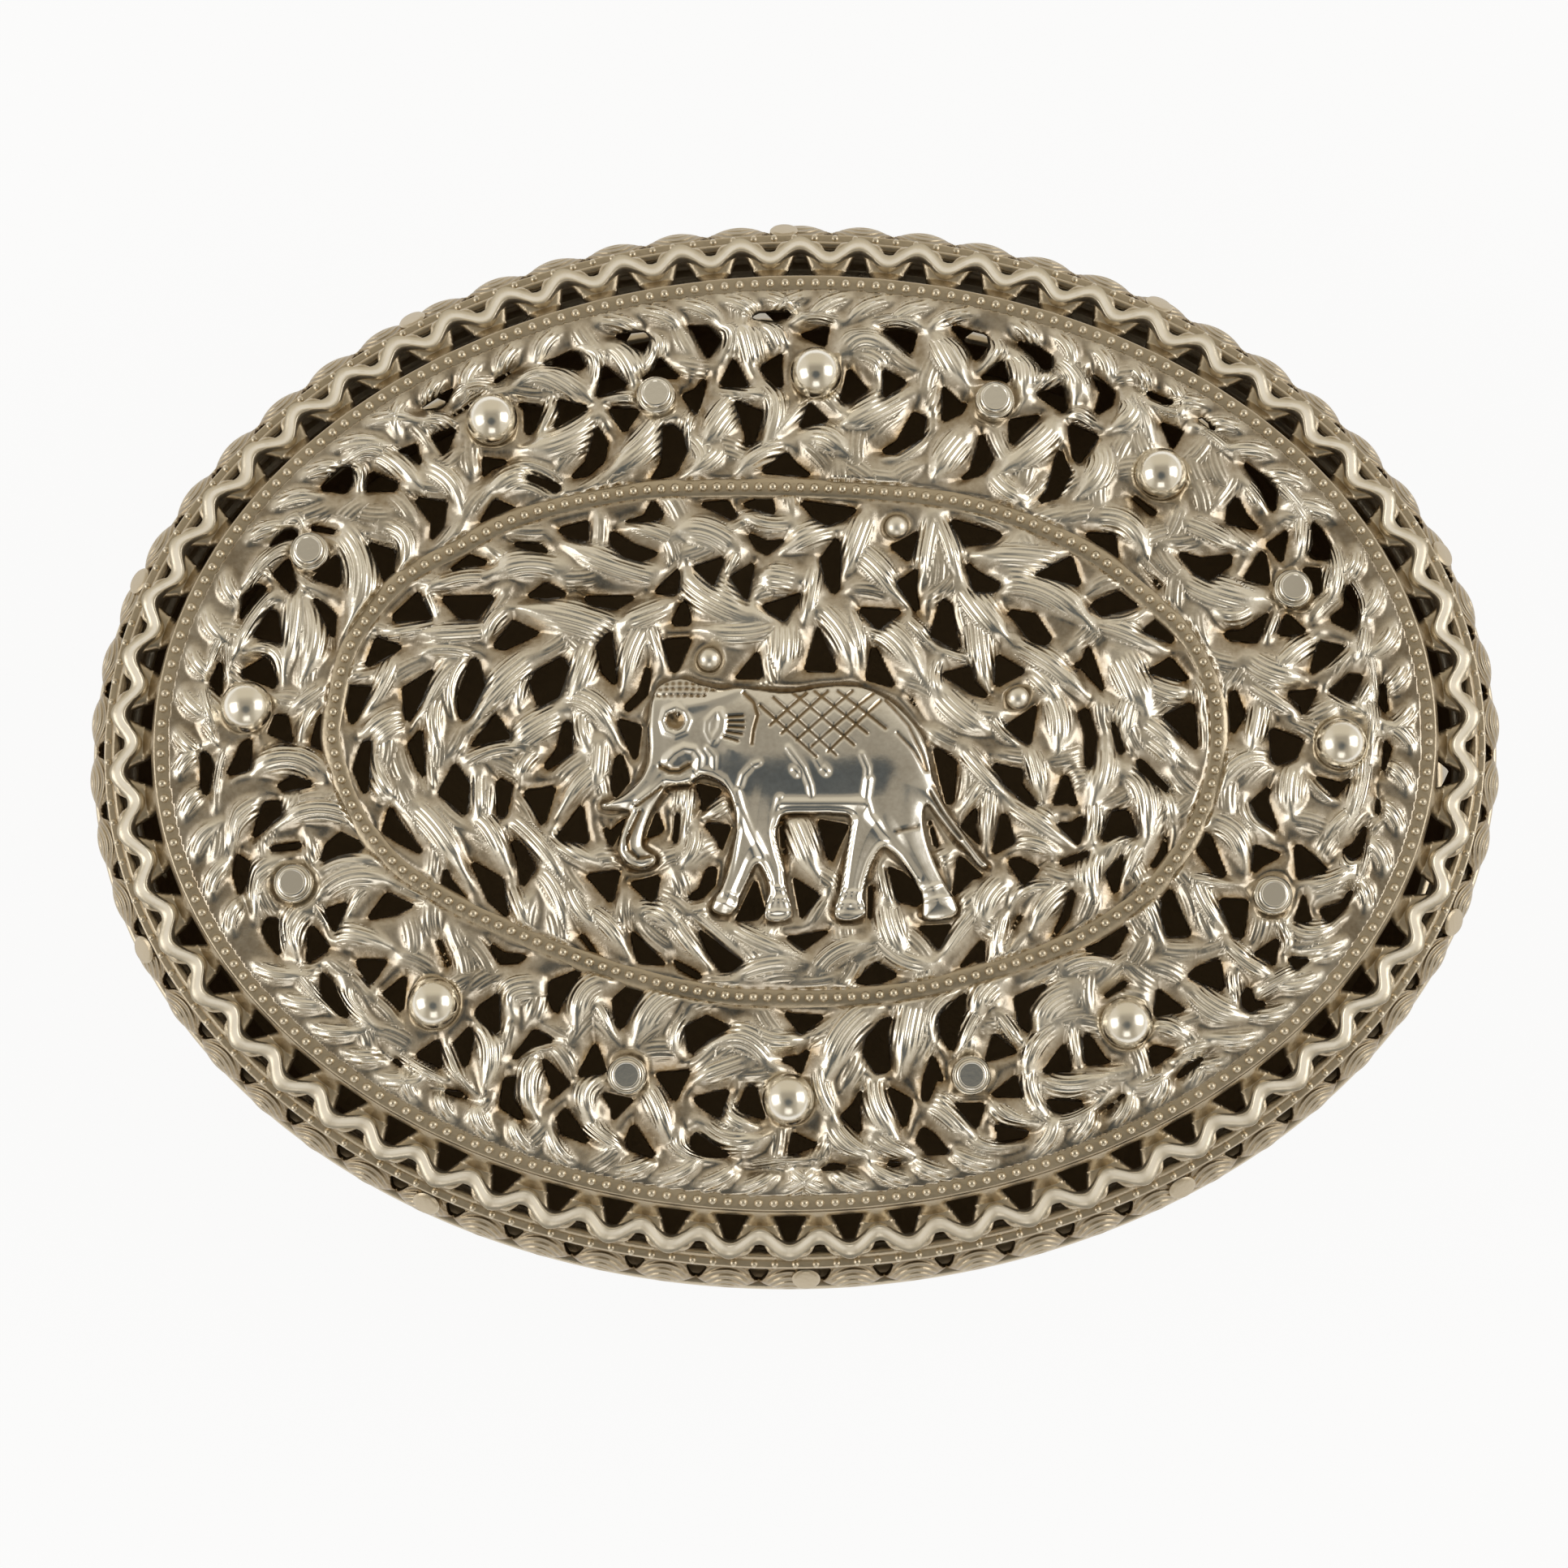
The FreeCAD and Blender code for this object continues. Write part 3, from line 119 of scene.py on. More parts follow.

# Leaves, read from the photograph, in its pixels: root, middle, tip, half width
LEAVES_PX = (
    # back row
    (475, 570, 425, 552, 370, 590, 14), (412, 573, 437, 590, 446, 626, 12),
    (455, 558, 492, 580, 526, 622, 18), (562, 540, 530, 521, 488, 517, 13),
    (597, 470, 555, 470, 524, 503, 15), (592, 480, 572, 495, 550, 516, 10),
    (722, 500, 660, 466, 624, 492, 20), (682, 495, 672, 520, 654, 552, 13),
    (730, 482, 729, 445, 688, 416, 13), (748, 425, 776, 460, 786, 502, 18),
    (790, 467, 803, 428, 768, 394, 15), (738, 520, 690, 552, 632, 562, 22),
    (818, 520, 788, 560, 735, 598, 22), (690, 618, 635, 594, 586, 642, 20),
    (520, 580, 556, 604, 566, 642, 15), (800, 503, 765, 498, 728, 503, 10),
    # middle of the back
    (890, 448, 893, 412, 858, 392, 14), (925, 460, 915, 420, 905, 398, 20),
    (960, 440, 945, 410, 925, 392, 14), (880, 485, 908, 490, 955, 500, 12),
    (905, 500, 880, 530, 862, 560, 20), (930, 480, 950, 515, 925, 575, 15),
    (880, 560, 868, 575, 832, 597, 14), (845, 545, 862, 570, 850, 592, 12),
    (1030, 395, 995, 385, 960, 405, 15), (1035, 440, 1065, 425, 1110, 450, 18),
    (1070, 400, 1110, 388, 1145, 415, 16), (1050, 445, 1080, 460, 1072, 500, 12),
    (1110, 490, 1065, 515, 1025, 535, 22), (1140, 530, 1110, 560, 1075, 575, 14),
    (990, 545, 1015, 548, 1045, 575, 20), (965, 560, 930, 570, 900, 595, 16),
    (1000, 500, 975, 520, 940, 560, 8), (860, 500, 840, 540, 850, 575, 9),
    # right of the back
    (1150, 420, 1165, 450, 1190, 490, 22), (1225, 410, 1222, 440, 1195, 470, 14),
    (1245, 440, 1255, 470, 1250, 500, 22), (1262, 440, 1280, 470, 1240, 515, 12),
    (1305, 440, 1320, 470, 1312, 515, 24), (1300, 470, 1280, 485, 1255, 500, 10),
    (1345, 440, 1330, 470, 1335, 510, 12), (1385, 490, 1385, 520, 1350, 540, 20),
    (1345, 535, 1320, 520, 1300, 525, 10), (1290, 535, 1265, 560, 1215, 595, 24),
    (1320, 590, 1290, 605, 1262, 625, 16), (1180, 545, 1160, 570, 1140, 600, 22),
    (1215, 590, 1235, 612, 1262, 622, 14), (1345, 560, 1345, 590, 1310, 625, 20),
    (1400, 480, 1402, 520, 1415, 560, 13), (1470, 500, 1440, 500, 1400, 485, 14),
    (1480, 520, 1510, 540, 1530, 570, 14), (1530, 600, 1545, 620, 1550, 640, 18),
    (1590, 590, 1615, 620, 1635, 660, 18),
    # left
    (368, 660, 335, 638, 300, 680, 10), (355, 678, 305, 692, 262, 760, 18),
    (330, 715, 300, 711, 268, 770, 8), (345, 740, 305, 775, 278, 830, 18),
    (365, 735, 361, 785, 350, 850, 15), (385, 745, 391, 795, 370, 850, 19),
    (350, 845, 335, 806, 287, 815, 10), (420, 658, 447, 715, 425, 790, 24),
    (470, 655, 500, 675, 490, 722, 14), (262, 780, 240, 805, 225, 850, 12),
    (262, 780, 268, 815, 285, 860, 8), (222, 850, 235, 876, 262, 905, 14),
    (225, 895, 245, 908, 268, 930, 10), (400, 850, 380, 865, 352, 885, 10),
    (398, 868, 381, 890, 370, 925, 9), (485, 815, 470, 850, 440, 895, 14),
    (500, 885, 470, 900, 440, 930, 20), (540, 770, 500, 780, 462, 785, 12),
    # left of the elephant
    (690, 705, 640, 700, 590, 720, 20), (600, 715, 560, 718, 518, 735, 12),
    (525, 735, 533, 755, 540, 775, 8), (810, 715, 740, 695, 685, 670, 18),
    (830, 670, 790, 655, 750, 648, 12), (760, 785, 700, 765, 625, 752, 24),
    (625, 755, 605, 775, 600, 800, 12), (600, 780, 550, 785, 505, 785, 14),
    (590, 810, 545, 805, 512, 812, 10), (560, 820, 535, 850, 508, 905, 14),
    (575, 815, 557, 850, 562, 892, 10), (540, 860, 535, 895, 546, 928, 12),
    (655, 815, 615, 850, 572, 900, 22), (650, 830, 640, 855, 640, 885, 11),
    (725, 800, 715, 830, 700, 870, 20), (790, 775, 772, 815, 765, 860, 16),
    (820, 750, 785, 765, 755, 775, 16), (800, 775, 808, 800, 818, 830, 10),
    (690, 860, 735, 875, 765, 930, 18), (690, 880, 655, 900, 615, 930, 22),
    (715, 880, 715, 905, 730, 935, 13),
    # above the elephant
    (900, 680, 860, 660, 820, 665, 20), (970, 650, 935, 650, 905, 637, 12),
    (1025, 655, 985, 668, 950, 690, 18), (1060, 640, 1045, 680, 1030, 720, 18),
    (1050, 685, 1080, 710, 1120, 765, 18), (975, 720, 950, 717, 925, 715, 20),
    (840, 710, 885, 745, 960, 770, 28), (950, 775, 900, 785, 845, 775, 15),
    (1000, 700, 992, 740, 985, 780, 12), (960, 770, 960, 805, 955, 838, 22),
    (1000, 755, 1030, 790, 1045, 835, 20), (1040, 750, 1055, 790, 1058, 835, 8),
    (1060, 775, 1100, 795, 1140, 860, 20), (1110, 765, 1130, 785, 1150, 810, 10),
    (905, 685, 897, 700, 890, 715, 8), (1140, 640, 1130, 690, 1125, 740, 14),
    # right of the elephant
    (1150, 640, 1168, 685, 1175, 730, 14), (1300, 695, 1240, 690, 1185, 690, 16),
    (1225, 720, 1290, 735, 1345, 790, 24), (1180, 725, 1205, 760, 1240, 800, 22),
    (1195, 765, 1200, 815, 1210, 860, 20), (1240, 795, 1290, 825, 1335, 870, 18),
    (1260, 830, 1278, 847, 1300, 870, 14), (1285, 860, 1295, 895, 1290, 935, 18),
    (1340, 770, 1385, 785, 1430, 810, 16), (1370, 810, 1387, 845, 1405, 890, 26),
    (1380, 865, 1372, 890, 1370, 925, 16), (1400, 840, 1435, 855, 1455, 850, 18),
    (1400, 890, 1420, 905, 1445, 930, 14), (1150, 855, 1180, 885, 1215, 905, 20),
    (1215, 885, 1230, 905, 1255, 925, 10), (1150, 815, 1145, 840, 1155, 865, 10),
    (1190, 815, 1165, 808, 1140, 800, 8), (1340, 645, 1382, 656, 1405, 700, 18),
    (1400, 755, 1365, 770, 1330, 760, 8),
    # right side
    (1450, 650, 1485, 665, 1530, 690, 14), (1450, 715, 1500, 738, 1555, 745, 22),
    (1530, 755, 1505, 765, 1480, 755, 12), (1620, 635, 1605, 665, 1585, 700, 18),
    (1660, 665, 1655, 710, 1615, 755, 18), (1670, 705, 1695, 745, 1660, 795, 10),
    (1695, 770, 1680, 800, 1660, 825, 16), (1610, 790, 1580, 810, 1550, 840, 16),
    (1525, 815, 1560, 835, 1600, 838, 20), (1560, 760, 1552, 780, 1545, 800, 8),
    (1655, 795, 1630, 818, 1600, 840, 8), (1620, 850, 1650, 870, 1690, 890, 12),
    (1690, 845, 1670, 862, 1650, 880, 8), (1695, 800, 1698, 840, 1698, 890, 9),
    (1685, 865, 1690, 890, 1680, 930, 16), (1525, 845, 1560, 868, 1600, 890, 12),
    (1540, 870, 1535, 900, 1525, 935, 16), (1460, 840, 1470, 860, 1465, 890, 8),
    (1640, 700, 1625, 720, 1610, 745, 10),
    # left
    (398, 955, 350, 938, 285, 968, 20), (445, 1012, 385, 1000, 328, 1032, 15),
    (325, 990, 290, 1020, 268, 1078, 16), (345, 1060, 308, 1095, 303, 1152, 16),
    (382, 1118, 362, 1150, 366, 1195, 22), (345, 1135, 338, 1165, 338, 1195, 10),
    (395, 1070, 432, 1055, 478, 1066, 14), (400, 1102, 445, 1080, 500, 1094, 16),
    (455, 1092, 436, 1112, 422, 1146, 8), (412, 1152, 445, 1150, 498, 1172, 15),
    (390, 1112, 404, 1128, 414, 1150, 8), (278, 925, 258, 965, 250, 1022, 9),
    (458, 925, 468, 965, 505, 1005, 16),
    # left of the elephant
    (570, 942, 618, 922, 660, 930, 12), (588, 952, 588, 985, 590, 1012, 14),
    (606, 965, 604, 990, 602, 1010, 8), (628, 1008, 665, 1042, 702, 1095, 14),
    (748, 945, 715, 965, 682, 1015, 13), (738, 915, 736, 945, 732, 975, 14),
    (662, 928, 646, 945, 640, 968, 11), (512, 995, 545, 1030, 585, 1095, 18),
    (588, 1005, 610, 1030, 632, 1082, 16), (664, 1072, 685, 1100, 702, 1152, 13),
    (700, 1088, 715, 1120, 745, 1146, 12), (678, 1022, 705, 1046, 745, 1066, 14),
    (722, 1120, 750, 1140, 778, 1182, 14), (630, 1088, 640, 1115, 652, 1142, 12),
    (785, 1122, 812, 1122, 845, 1155, 16),
    # under the elephant
    (842, 955, 838, 1000, 830, 1062, 14), (852, 1020, 850, 1045, 832, 1072, 12),
    (895, 985, 875, 998, 858, 1008, 12), (925, 1032, 905, 1065, 885, 1100, 15),
    (972, 1008, 985, 1040, 1005, 1090, 22), (1082, 1062, 1088, 1095, 1098, 1125, 11),
    (1085, 1110, 1092, 1145, 1112, 1185, 20), (898, 1138, 935, 1158, 988, 1176, 14),
    (905, 1196, 945, 1184, 988, 1184, 13), (1000, 1192, 1030, 1166, 1075, 1158, 14),
    (848, 1122, 880, 1148, 922, 1185, 10), (826, 1128, 845, 1155, 876, 1192, 14),
    (1072, 1150, 1110, 1180, 1155, 1182, 14),
    # right of the elephant
    (1178, 922, 1206, 955, 1240, 988, 16), (1202, 962, 1190, 980, 1174, 1006, 10),
    (1210, 972, 1207, 1005, 1204, 1048, 12), (1235, 985, 1272, 1010, 1325, 1046, 18),
    (1258, 922, 1268, 955, 1274, 992, 14), (1348, 922, 1346, 955, 1330, 1000, 20),
    (1336, 988, 1336, 1015, 1330, 1046, 13), (1375, 952, 1400, 985, 1396, 1062, 17),
    (1402, 952, 1427, 985, 1432, 1042, 9), (1392, 1038, 1378, 1060, 1368, 1092, 14),
    (1338, 1045, 1330, 1075, 1340, 1115, 18), (1228, 1083, 1206, 1108, 1204, 1142, 18),
    (1308, 1088, 1276, 1115, 1260, 1152, 15), (1292, 1090, 1250, 1094, 1234, 1126, 9),
    (1192, 1118, 1165, 1150, 1138, 1192, 12), (1228, 1125, 1222, 1150, 1218, 1182, 11),
    (1392, 1102, 1410, 1125, 1422, 1172, 14), (1298, 1192, 1330, 1180, 1368, 1186, 14),
    (1238, 1038, 1270, 1040, 1305, 1062, 11), (1402, 912, 1422, 928, 1438, 948, 14),
    (1140, 980, 1162, 1012, 1205, 1055, 12), (1388, 1024, 1362, 1034, 1345, 1050, 8),
    # right side
    (1552, 938, 1510, 946, 1478, 995, 14), (1582, 948, 1576, 978, 1578, 1015, 20),
    (1666, 932, 1662, 978, 1638, 1032, 22), (1662, 998, 1636, 1014, 1614, 1040, 11),
    (1600, 958, 1616, 978, 1642, 995, 9), (1478, 1012, 1512, 1034, 1522, 1082, 18),
    (1520, 985, 1530, 1014, 1562, 1030, 9), (1598, 1090, 1640, 1086, 1682, 1080, 18),
    (1642, 1052, 1664, 1070, 1690, 1060, 12), (1572, 1132, 1630, 1152, 1688, 1130, 16),
    (1695, 1028, 1693, 1082, 1672, 1142, 9), (1462, 1082, 1476, 1115, 1502, 1148, 14),
    (1455, 1080, 1480, 1085, 1522, 1092, 9), (1498, 1158, 1530, 1186, 1574, 1208, 14),
    (1558, 1128, 1570, 1155, 1582, 1192, 9),
    # front scrolls, left to right
    (352, 1200, 375, 1235, 412, 1266, 16), (425, 1208, 436, 1245, 478, 1270, 20),
    (480, 1302, 515, 1325, 556, 1338, 16), (548, 1278, 565, 1320, 592, 1376, 12),
    (590, 1255, 606, 1295, 592, 1348, 16), (664, 1212, 628, 1222, 640, 1254, 20),
    (742, 1204, 714, 1226, 712, 1274, 18), (832, 1214, 796, 1240, 780, 1288, 22),
    (666, 1298, 650, 1332, 662, 1394, 18), (742, 1318, 720, 1345, 736, 1382, 16),
    (724, 1374, 740, 1402, 768, 1432, 20), (795, 1334, 810, 1362, 826, 1412, 16),
    (692, 1278, 655, 1288, 630, 1306, 8), (735, 1233, 745, 1250, 756, 1272, 8),
    # front middle
    (948, 1302, 905, 1270, 854, 1292, 20), (916, 1300, 876, 1315, 850, 1326, 14),
    (918, 1258, 955, 1276, 1002, 1262, 14), (1066, 1240, 1030, 1276, 1010, 1334, 22),
    (1116, 1232, 1108, 1268, 1100, 1324, 24), (1070, 1318, 1076, 1360, 1106, 1402, 20),
    (1070, 1394, 1096, 1416, 1134, 1442, 18), (858, 1378, 900, 1402, 952, 1386, 20),
    (884, 1343, 900, 1370, 934, 1380, 16), (830, 1388, 845, 1424, 898, 1436, 16),
    (918, 1442, 960, 1432, 1008, 1430, 12), (1020, 1378, 1042, 1406, 1092, 1436, 18),
    (1004, 1308, 1010, 1345, 1036, 1386, 12), (846, 1244, 830, 1270, 832, 1298, 10),
    # front right
    (1218, 1202, 1196, 1226, 1200, 1248, 22), (1168, 1218, 1140, 1246, 1146, 1288, 10),
    (1196, 1238, 1180, 1265, 1168, 1298, 12), (1220, 1244, 1236, 1265, 1252, 1288, 12),
    (1312, 1216, 1276, 1236, 1268, 1274, 24), (1292, 1258, 1262, 1286, 1254, 1332, 14),
    (1274, 1320, 1312, 1331, 1372, 1314, 18), (1260, 1308, 1262, 1346, 1292, 1382, 14),
    (1214, 1354, 1240, 1376, 1294, 1396, 14), (1138, 1348, 1170, 1370, 1202, 1412, 20),
    (1190, 1398, 1222, 1426, 1278, 1426, 12), (1398, 1346, 1430, 1346, 1458, 1318, 16),
    (1298, 1386, 1336, 1380, 1378, 1334, 16), (1410, 1258, 1430, 1262, 1458, 1282, 14),
    (1312, 1258, 1315, 1285, 1320, 1312, 10), (1454, 1212, 1496, 1246, 1562, 1266, 20),
    (1507, 1192, 1510, 1220, 1532, 1252, 10), (1548, 1226, 1590, 1212, 1638, 1198, 18),
    (1454, 1302, 1476, 1298, 1512, 1300, 12),
)

# The elephant's outline, read from the photograph, in its pixels
FIGURE_PX = (
    # crown, back and rump
    (799, 866), (806, 850), (820, 841), (838, 838), (860, 845), (884, 850), (906, 848), (930, 851),
    (955, 854), (980, 853), (1005, 848), (1030, 846), (1056, 848), (1078, 857), (1098, 871), (1116, 889),
    (1129, 908), (1137, 932), (1142, 956),
    # tail
    (1152, 982), (1164, 1004), (1180, 1026), (1196, 1048), (1208, 1064), (1198, 1066), (1180, 1044),
    (1162, 1024), (1146, 1004), (1134, 990),
    # hind legs
    (1130, 1004), (1132, 1024), (1138, 1046), (1147, 1068), (1157, 1088), (1168, 1106), (1170, 1122),
    (1150, 1130), (1130, 1128), (1128, 1112), (1126, 1098), (1116, 1080), (1102, 1060), (1090, 1046),
    (1080, 1042), (1070, 1056), (1062, 1078), (1058, 1100), (1060, 1122), (1044, 1130), (1024, 1128),
    (1022, 1114), (1028, 1096), (1032, 1070), (1036, 1044), (1040, 1020), (1040, 1004),
    # belly and front legs
    (1020, 1001), (995, 1001), (972, 1001), (960, 1003), (955, 1012), (952, 1026), (956, 1046), (962, 1066),
    (964, 1090), (970, 1112), (970, 1126), (954, 1132), (938, 1128), (938, 1112), (942, 1094), (938, 1076),
    (928, 1062), (918, 1080), (908, 1102), (904, 1116), (890, 1124), (874, 1118), (876, 1104), (884, 1090),
    (893, 1066), (899, 1040), (903, 1012), (898, 988), (892, 974), (882, 964), (868, 958), (858, 958),
    # mouth, trunk and tusk
    (848, 966), (830, 968), (818, 970), (812, 980), (803, 994), (796, 1010), (791, 1026), (790, 1040),
    (798, 1048), (806, 1054), (804, 1063), (792, 1069), (776, 1067), (764, 1057), (759, 1042), (762, 1026),
    (768, 1010), (773, 999), (758, 997), (742, 996), (739, 990), (750, 986), (764, 980), (778, 968),
    (788, 956), (794, 940), (795, 920), (794, 900), (796, 882),
)

# Raised and engraved lines on the elephant: height, half width and points in the photograph's pixels
FIGURE_LINES_PX = (
    # face, tusk and trunk
    (0.22, 6, ((802, 866), (801, 900), (802, 922), (800, 942), (791, 960), (777, 976), (757, 988),
            (745, 991))),
    (0.2, 5, ((780, 998), (772, 1014), (765, 1034), (764, 1048), (772, 1059), (788, 1064), (803, 1059))),
    (-0.14, 3, ((786, 1000), (779, 1016), (771, 1034), (773, 1046), (784, 1056), (797, 1054))),
    (0.14, 4, ((815, 962), (800, 976), (784, 986))), (-0.12, 3, ((813, 970), (797, 982), (781, 994))),
    (0.2, 5, ((818, 962), (832, 965), (848, 960))),
    (-0.16, 4, ((812, 946), (822, 951), (834, 951), (846, 944))),
    (0.2, 5, ((820, 938), (828, 930), (840, 924), (852, 926), (859, 936), (858, 950))),
    (0.2, 5, ((858, 950), (874, 953), (888, 962), (896, 976), (902, 990))),
    (0.14, 4, ((868, 924), (876, 934), (876, 948))), (0.12, 8, ((894, 924), (898, 926))),
    # brow, eye and ear
    (0.2, 8, ((846, 873), (866, 868), (886, 860), (904, 851))), (-0.3, 9, ((827, 890), (830, 891))),
    (0.16, 4, ((846, 891), (841, 903), (829, 908), (817, 903), (812, 891), (817, 879), (829, 874),
            (841, 879), (846, 891))), (0.2, 4, ((831, 885), (833, 887))),
    (0.2, 5, ((882, 880), (886, 890), (884, 902), (876, 914))),
    (0.12, 4, ((878, 880), (868, 892), (867, 904), (874, 918))), (-0.12, 2.2, ((893, 886), (911, 885))),
    (-0.12, 2.2, ((893, 892), (912, 892))), (-0.12, 2.2, ((893, 898), (912, 899))),
    (-0.12, 2.2, ((891, 904), (910, 907))), (-0.12, 2.2, ((888, 910), (905, 915))),
    (-0.12, 3, ((912, 856), (924, 868), (929, 884), (924, 902), (922, 918))),
    # saddle cloth
    (-0.14, 2.2, ((932, 872), (1000, 934))), (-0.14, 2.2, ((948, 862), (1024, 932))),
    (-0.14, 2.2, ((972, 856), (1046, 920))), (-0.14, 2.2, ((998, 854), (1062, 906))),
    (-0.14, 2.2, ((1026, 854), (1084, 900))), (-0.14, 2.2, ((958, 906), (1014, 854))),
    (-0.14, 2.2, ((976, 914), (1044, 854))), (-0.14, 2.2, ((994, 922), (1070, 856))),
    (-0.14, 2.2, ((1014, 928), (1078, 866))), (-0.14, 2.2, ((944, 896), (988, 856))),
    (0.14, 4, ((966, 924), (984, 948), (992, 968), (995, 986))), (0.1, 4, ((1000, 938), (1006, 948))),
    (0.18, 5, ((974, 950), (977, 953))), (0.18, 5, ((1009, 949), (1012, 952))),
    (0.14, 4, ((920, 948), (912, 956), (908, 968))), (0.14, 4, ((924, 944), (930, 942))),
    # belly and legs
    (0.3, 7, ((958, 990), (1058, 990))), (0.12, 4, ((1055, 932), (1062, 948), (1062, 964))),
    (0.22, 5, ((903, 976), (909, 996), (920, 1022), (934, 1052), (943, 1080), (945, 1100))),
    (0.22, 5, ((956, 984), (950, 1004), (948, 1022), (953, 1046), (959, 1066), (961, 1086))),
    (0.14, 5, ((905, 1022), (901, 1048), (896, 1074), (888, 1096))),
    (0.2, 5, ((1046, 1010), (1041, 1030), (1037, 1060), (1034, 1090))),
    (0.2, 5, ((1078, 1046), (1066, 1060), (1058, 1084), (1054, 1106))),
    (0.22, 5, ((1063, 962), (1060, 984), (1066, 1004), (1084, 1028), (1104, 1052), (1122, 1080))),
    (0.14, 7, ((1132, 1010), (1138, 1040), (1150, 1068), (1162, 1096))),
    (-0.1, 3, ((1098, 1024), (1122, 1018))), (0.14, 3, ((944, 1090), (964, 1090))),
    (0.14, 3, ((942, 1104), (968, 1104))), (0.14, 3, ((940, 1120), (970, 1120))),
    (0.14, 3, ((1030, 1096), (1056, 1096))), (0.14, 3, ((1027, 1110), (1058, 1110))),
    (0.14, 3, ((1024, 1122), (1059, 1122))), (0.12, 3, ((1130, 1094), (1154, 1086))),
    (0.12, 3, ((1130, 1108), (1164, 1102))), (0.12, 3, ((884, 1094), (908, 1104))),
    (0.12, 3, ((878, 1108), (904, 1116))),
    # rump and tail
    (-0.12, 2.2, ((1084, 864), (1112, 896), (1128, 930), (1134, 950))),
    (-0.1, 2.2, ((1098, 905), (1118, 926), (1132, 950))),
    (-0.12, 2.2, ((1142, 968), (1160, 1000), (1184, 1034), (1202, 1058))),
    (-0.12, 2.2, ((1137, 976), (1152, 1000), (1176, 1032))),
)


# Tools for ovals
FINE_STEPS = 2880


def arc_table(inset):
    """Ellipse angles and the distance walked along the oval at each."""
    angle = np.linspace(0, 2 * np.pi, FINE_STEPS + 1)
    middle = (angle[1:] + angle[:-1]) / 2
    a, b = HALF - inset
    step = np.hypot(a * np.sin(middle), b * np.cos(middle)) * 2 * np.pi / FINE_STEPS
    return angle, np.concatenate([[0], np.cumsum(step)])


def angles_at(inset, shares):
    """Ellipse angles at the given shares of the way round the oval."""
    angle, walk = arc_table(inset)
    return np.interp(np.asarray(shares) % 1 * walk[-1], walk, angle)


def on_oval(inset, angle, z):
    """Points on the oval set in by inset."""
    inset, angle, z = np.broadcast_arrays(inset, angle, z)
    return np.stack([(HALF[0] - inset) * np.cos(angle), (HALF[1] - inset) * np.sin(angle), z], -1)


# Tools for meshes: a mesh is its points and a list of face arrays
def joined(parts):
    """Several meshes as one."""
    points = []
    faces = []
    start = 0
    for part_points, part_faces in parts:
        points.append(part_points)
        faces += [face + start for face in part_faces]
        start += len(part_points)
    return np.concatenate(points), faces


def pruned(points, faces, *values):
    """The mesh without points that no face uses, with values kept in step."""
    used = np.zeros(len(points), bool)
    for face in faces:
        used[face.ravel()] = True
    place = np.cumsum(used) - 1
    return (points[used], [place[face] for face in faces]) + tuple(value[used] for value in values)


def grid_faces(index, keep):
    """Quads of a grid of point numbers, with a triangle where one corner is cut away."""
    corners = np.stack([index[:-1, :-1], index[1:, :-1], index[1:, 1:], index[:-1, 1:]], -1).reshape(-1, 4)
    good = keep[corners]
    quads = corners[good.all(1)]
    odd = good.sum(1) == 3
    gap = np.argmin(good[odd], axis=1)
    picks = (gap[:, None] + np.arange(1, 4)) % 4
    return [quads, np.take_along_axis(corners[odd], picks, 1)]


def shell(top, under, faces):
    """Closed solid from a sheet, its underside and walls along every open edge."""
    edges = np.concatenate([np.stack([face, np.roll(face, -1, 1)], -1).reshape(-1, 2) for face in faces])
    count = len(top)
    forward = edges[:, 0].astype(np.int64) * count + edges[:, 1]
    back = edges[:, 1].astype(np.int64) * count + edges[:, 0]
    rim = edges[~np.isin(forward, back)]
    walls = np.stack([rim[:, 1], rim[:, 0], rim[:, 0] + count, rim[:, 1] + count], -1)
    return np.concatenate([top, under]), faces + [face[:, ::-1] + count for face in faces] + [walls]


def swept(rows):
    """Closed ring from a grid of points, round by round of a closed section."""
    around, across = rows.shape[:2]
    index = np.arange(around * across).reshape(around, across)
    index = np.concatenate([index, index[:1]])
    index = np.concatenate([index, index[:, :1]], 1)
    return rows.reshape(-1, 3), [grid_faces(index, np.ones(around * across, bool))[0]]


def rounded(corners, radius, steps=4):
    """Outline with every corner rounded off."""
    corners = np.asarray(corners, float)
    share = np.linspace(0, 1, steps)[:, None]
    points = []
    for before, here, after in zip(np.roll(corners, 1, 0), corners, np.roll(corners, -1, 0)):
        start = here + (before - here) / np.linalg.norm(before - here) * radius
        end = here + (after - here) / np.linalg.norm(after - here) * radius
        points.append((1 - share) ** 2 * start + 2 * share * (1 - share) * here + share ** 2 * end)
    return np.concatenate(points)


def lathe(profile, steps):
    """Turned solid from pairs of radius and height, pole to pole."""
    turn = np.linspace(0, 2 * np.pi, steps, endpoint=False)
    rings = [np.stack([r * np.cos(turn), r * np.sin(turn), np.full(steps, z)], -1) for r, z in profile[1:-1]]
    points = np.concatenate([[(0, 0, profile[0][1])]] + rings + [[(0, 0, profile[-1][1])]])
    index = 1 + np.arange(len(rings) * steps).reshape(len(rings), steps)
    ahead = np.roll(index, -1, 1)
    quads = np.stack([index[:-1], ahead[:-1], ahead[1:], index[1:]], -1).reshape(-1, 4)
    foot = np.stack([np.zeros(steps, int), ahead[0], index[0]], -1)
    head = np.stack([np.full(steps, len(points) - 1), index[-1], ahead[-1]], -1)
    return points, [quads, foot, head]


def ball_profile(radius, low, steps):
    """Radius and height down from low to the top of a ball round the origin, closed flat below."""
    tilt = np.linspace(math.asin(low / radius), math.pi / 2, steps)
    curve = [(radius * math.cos(t), radius * math.sin(t)) for t in tilt[:-1]]
    return [(0, low)] + curve + [(0, radius)]


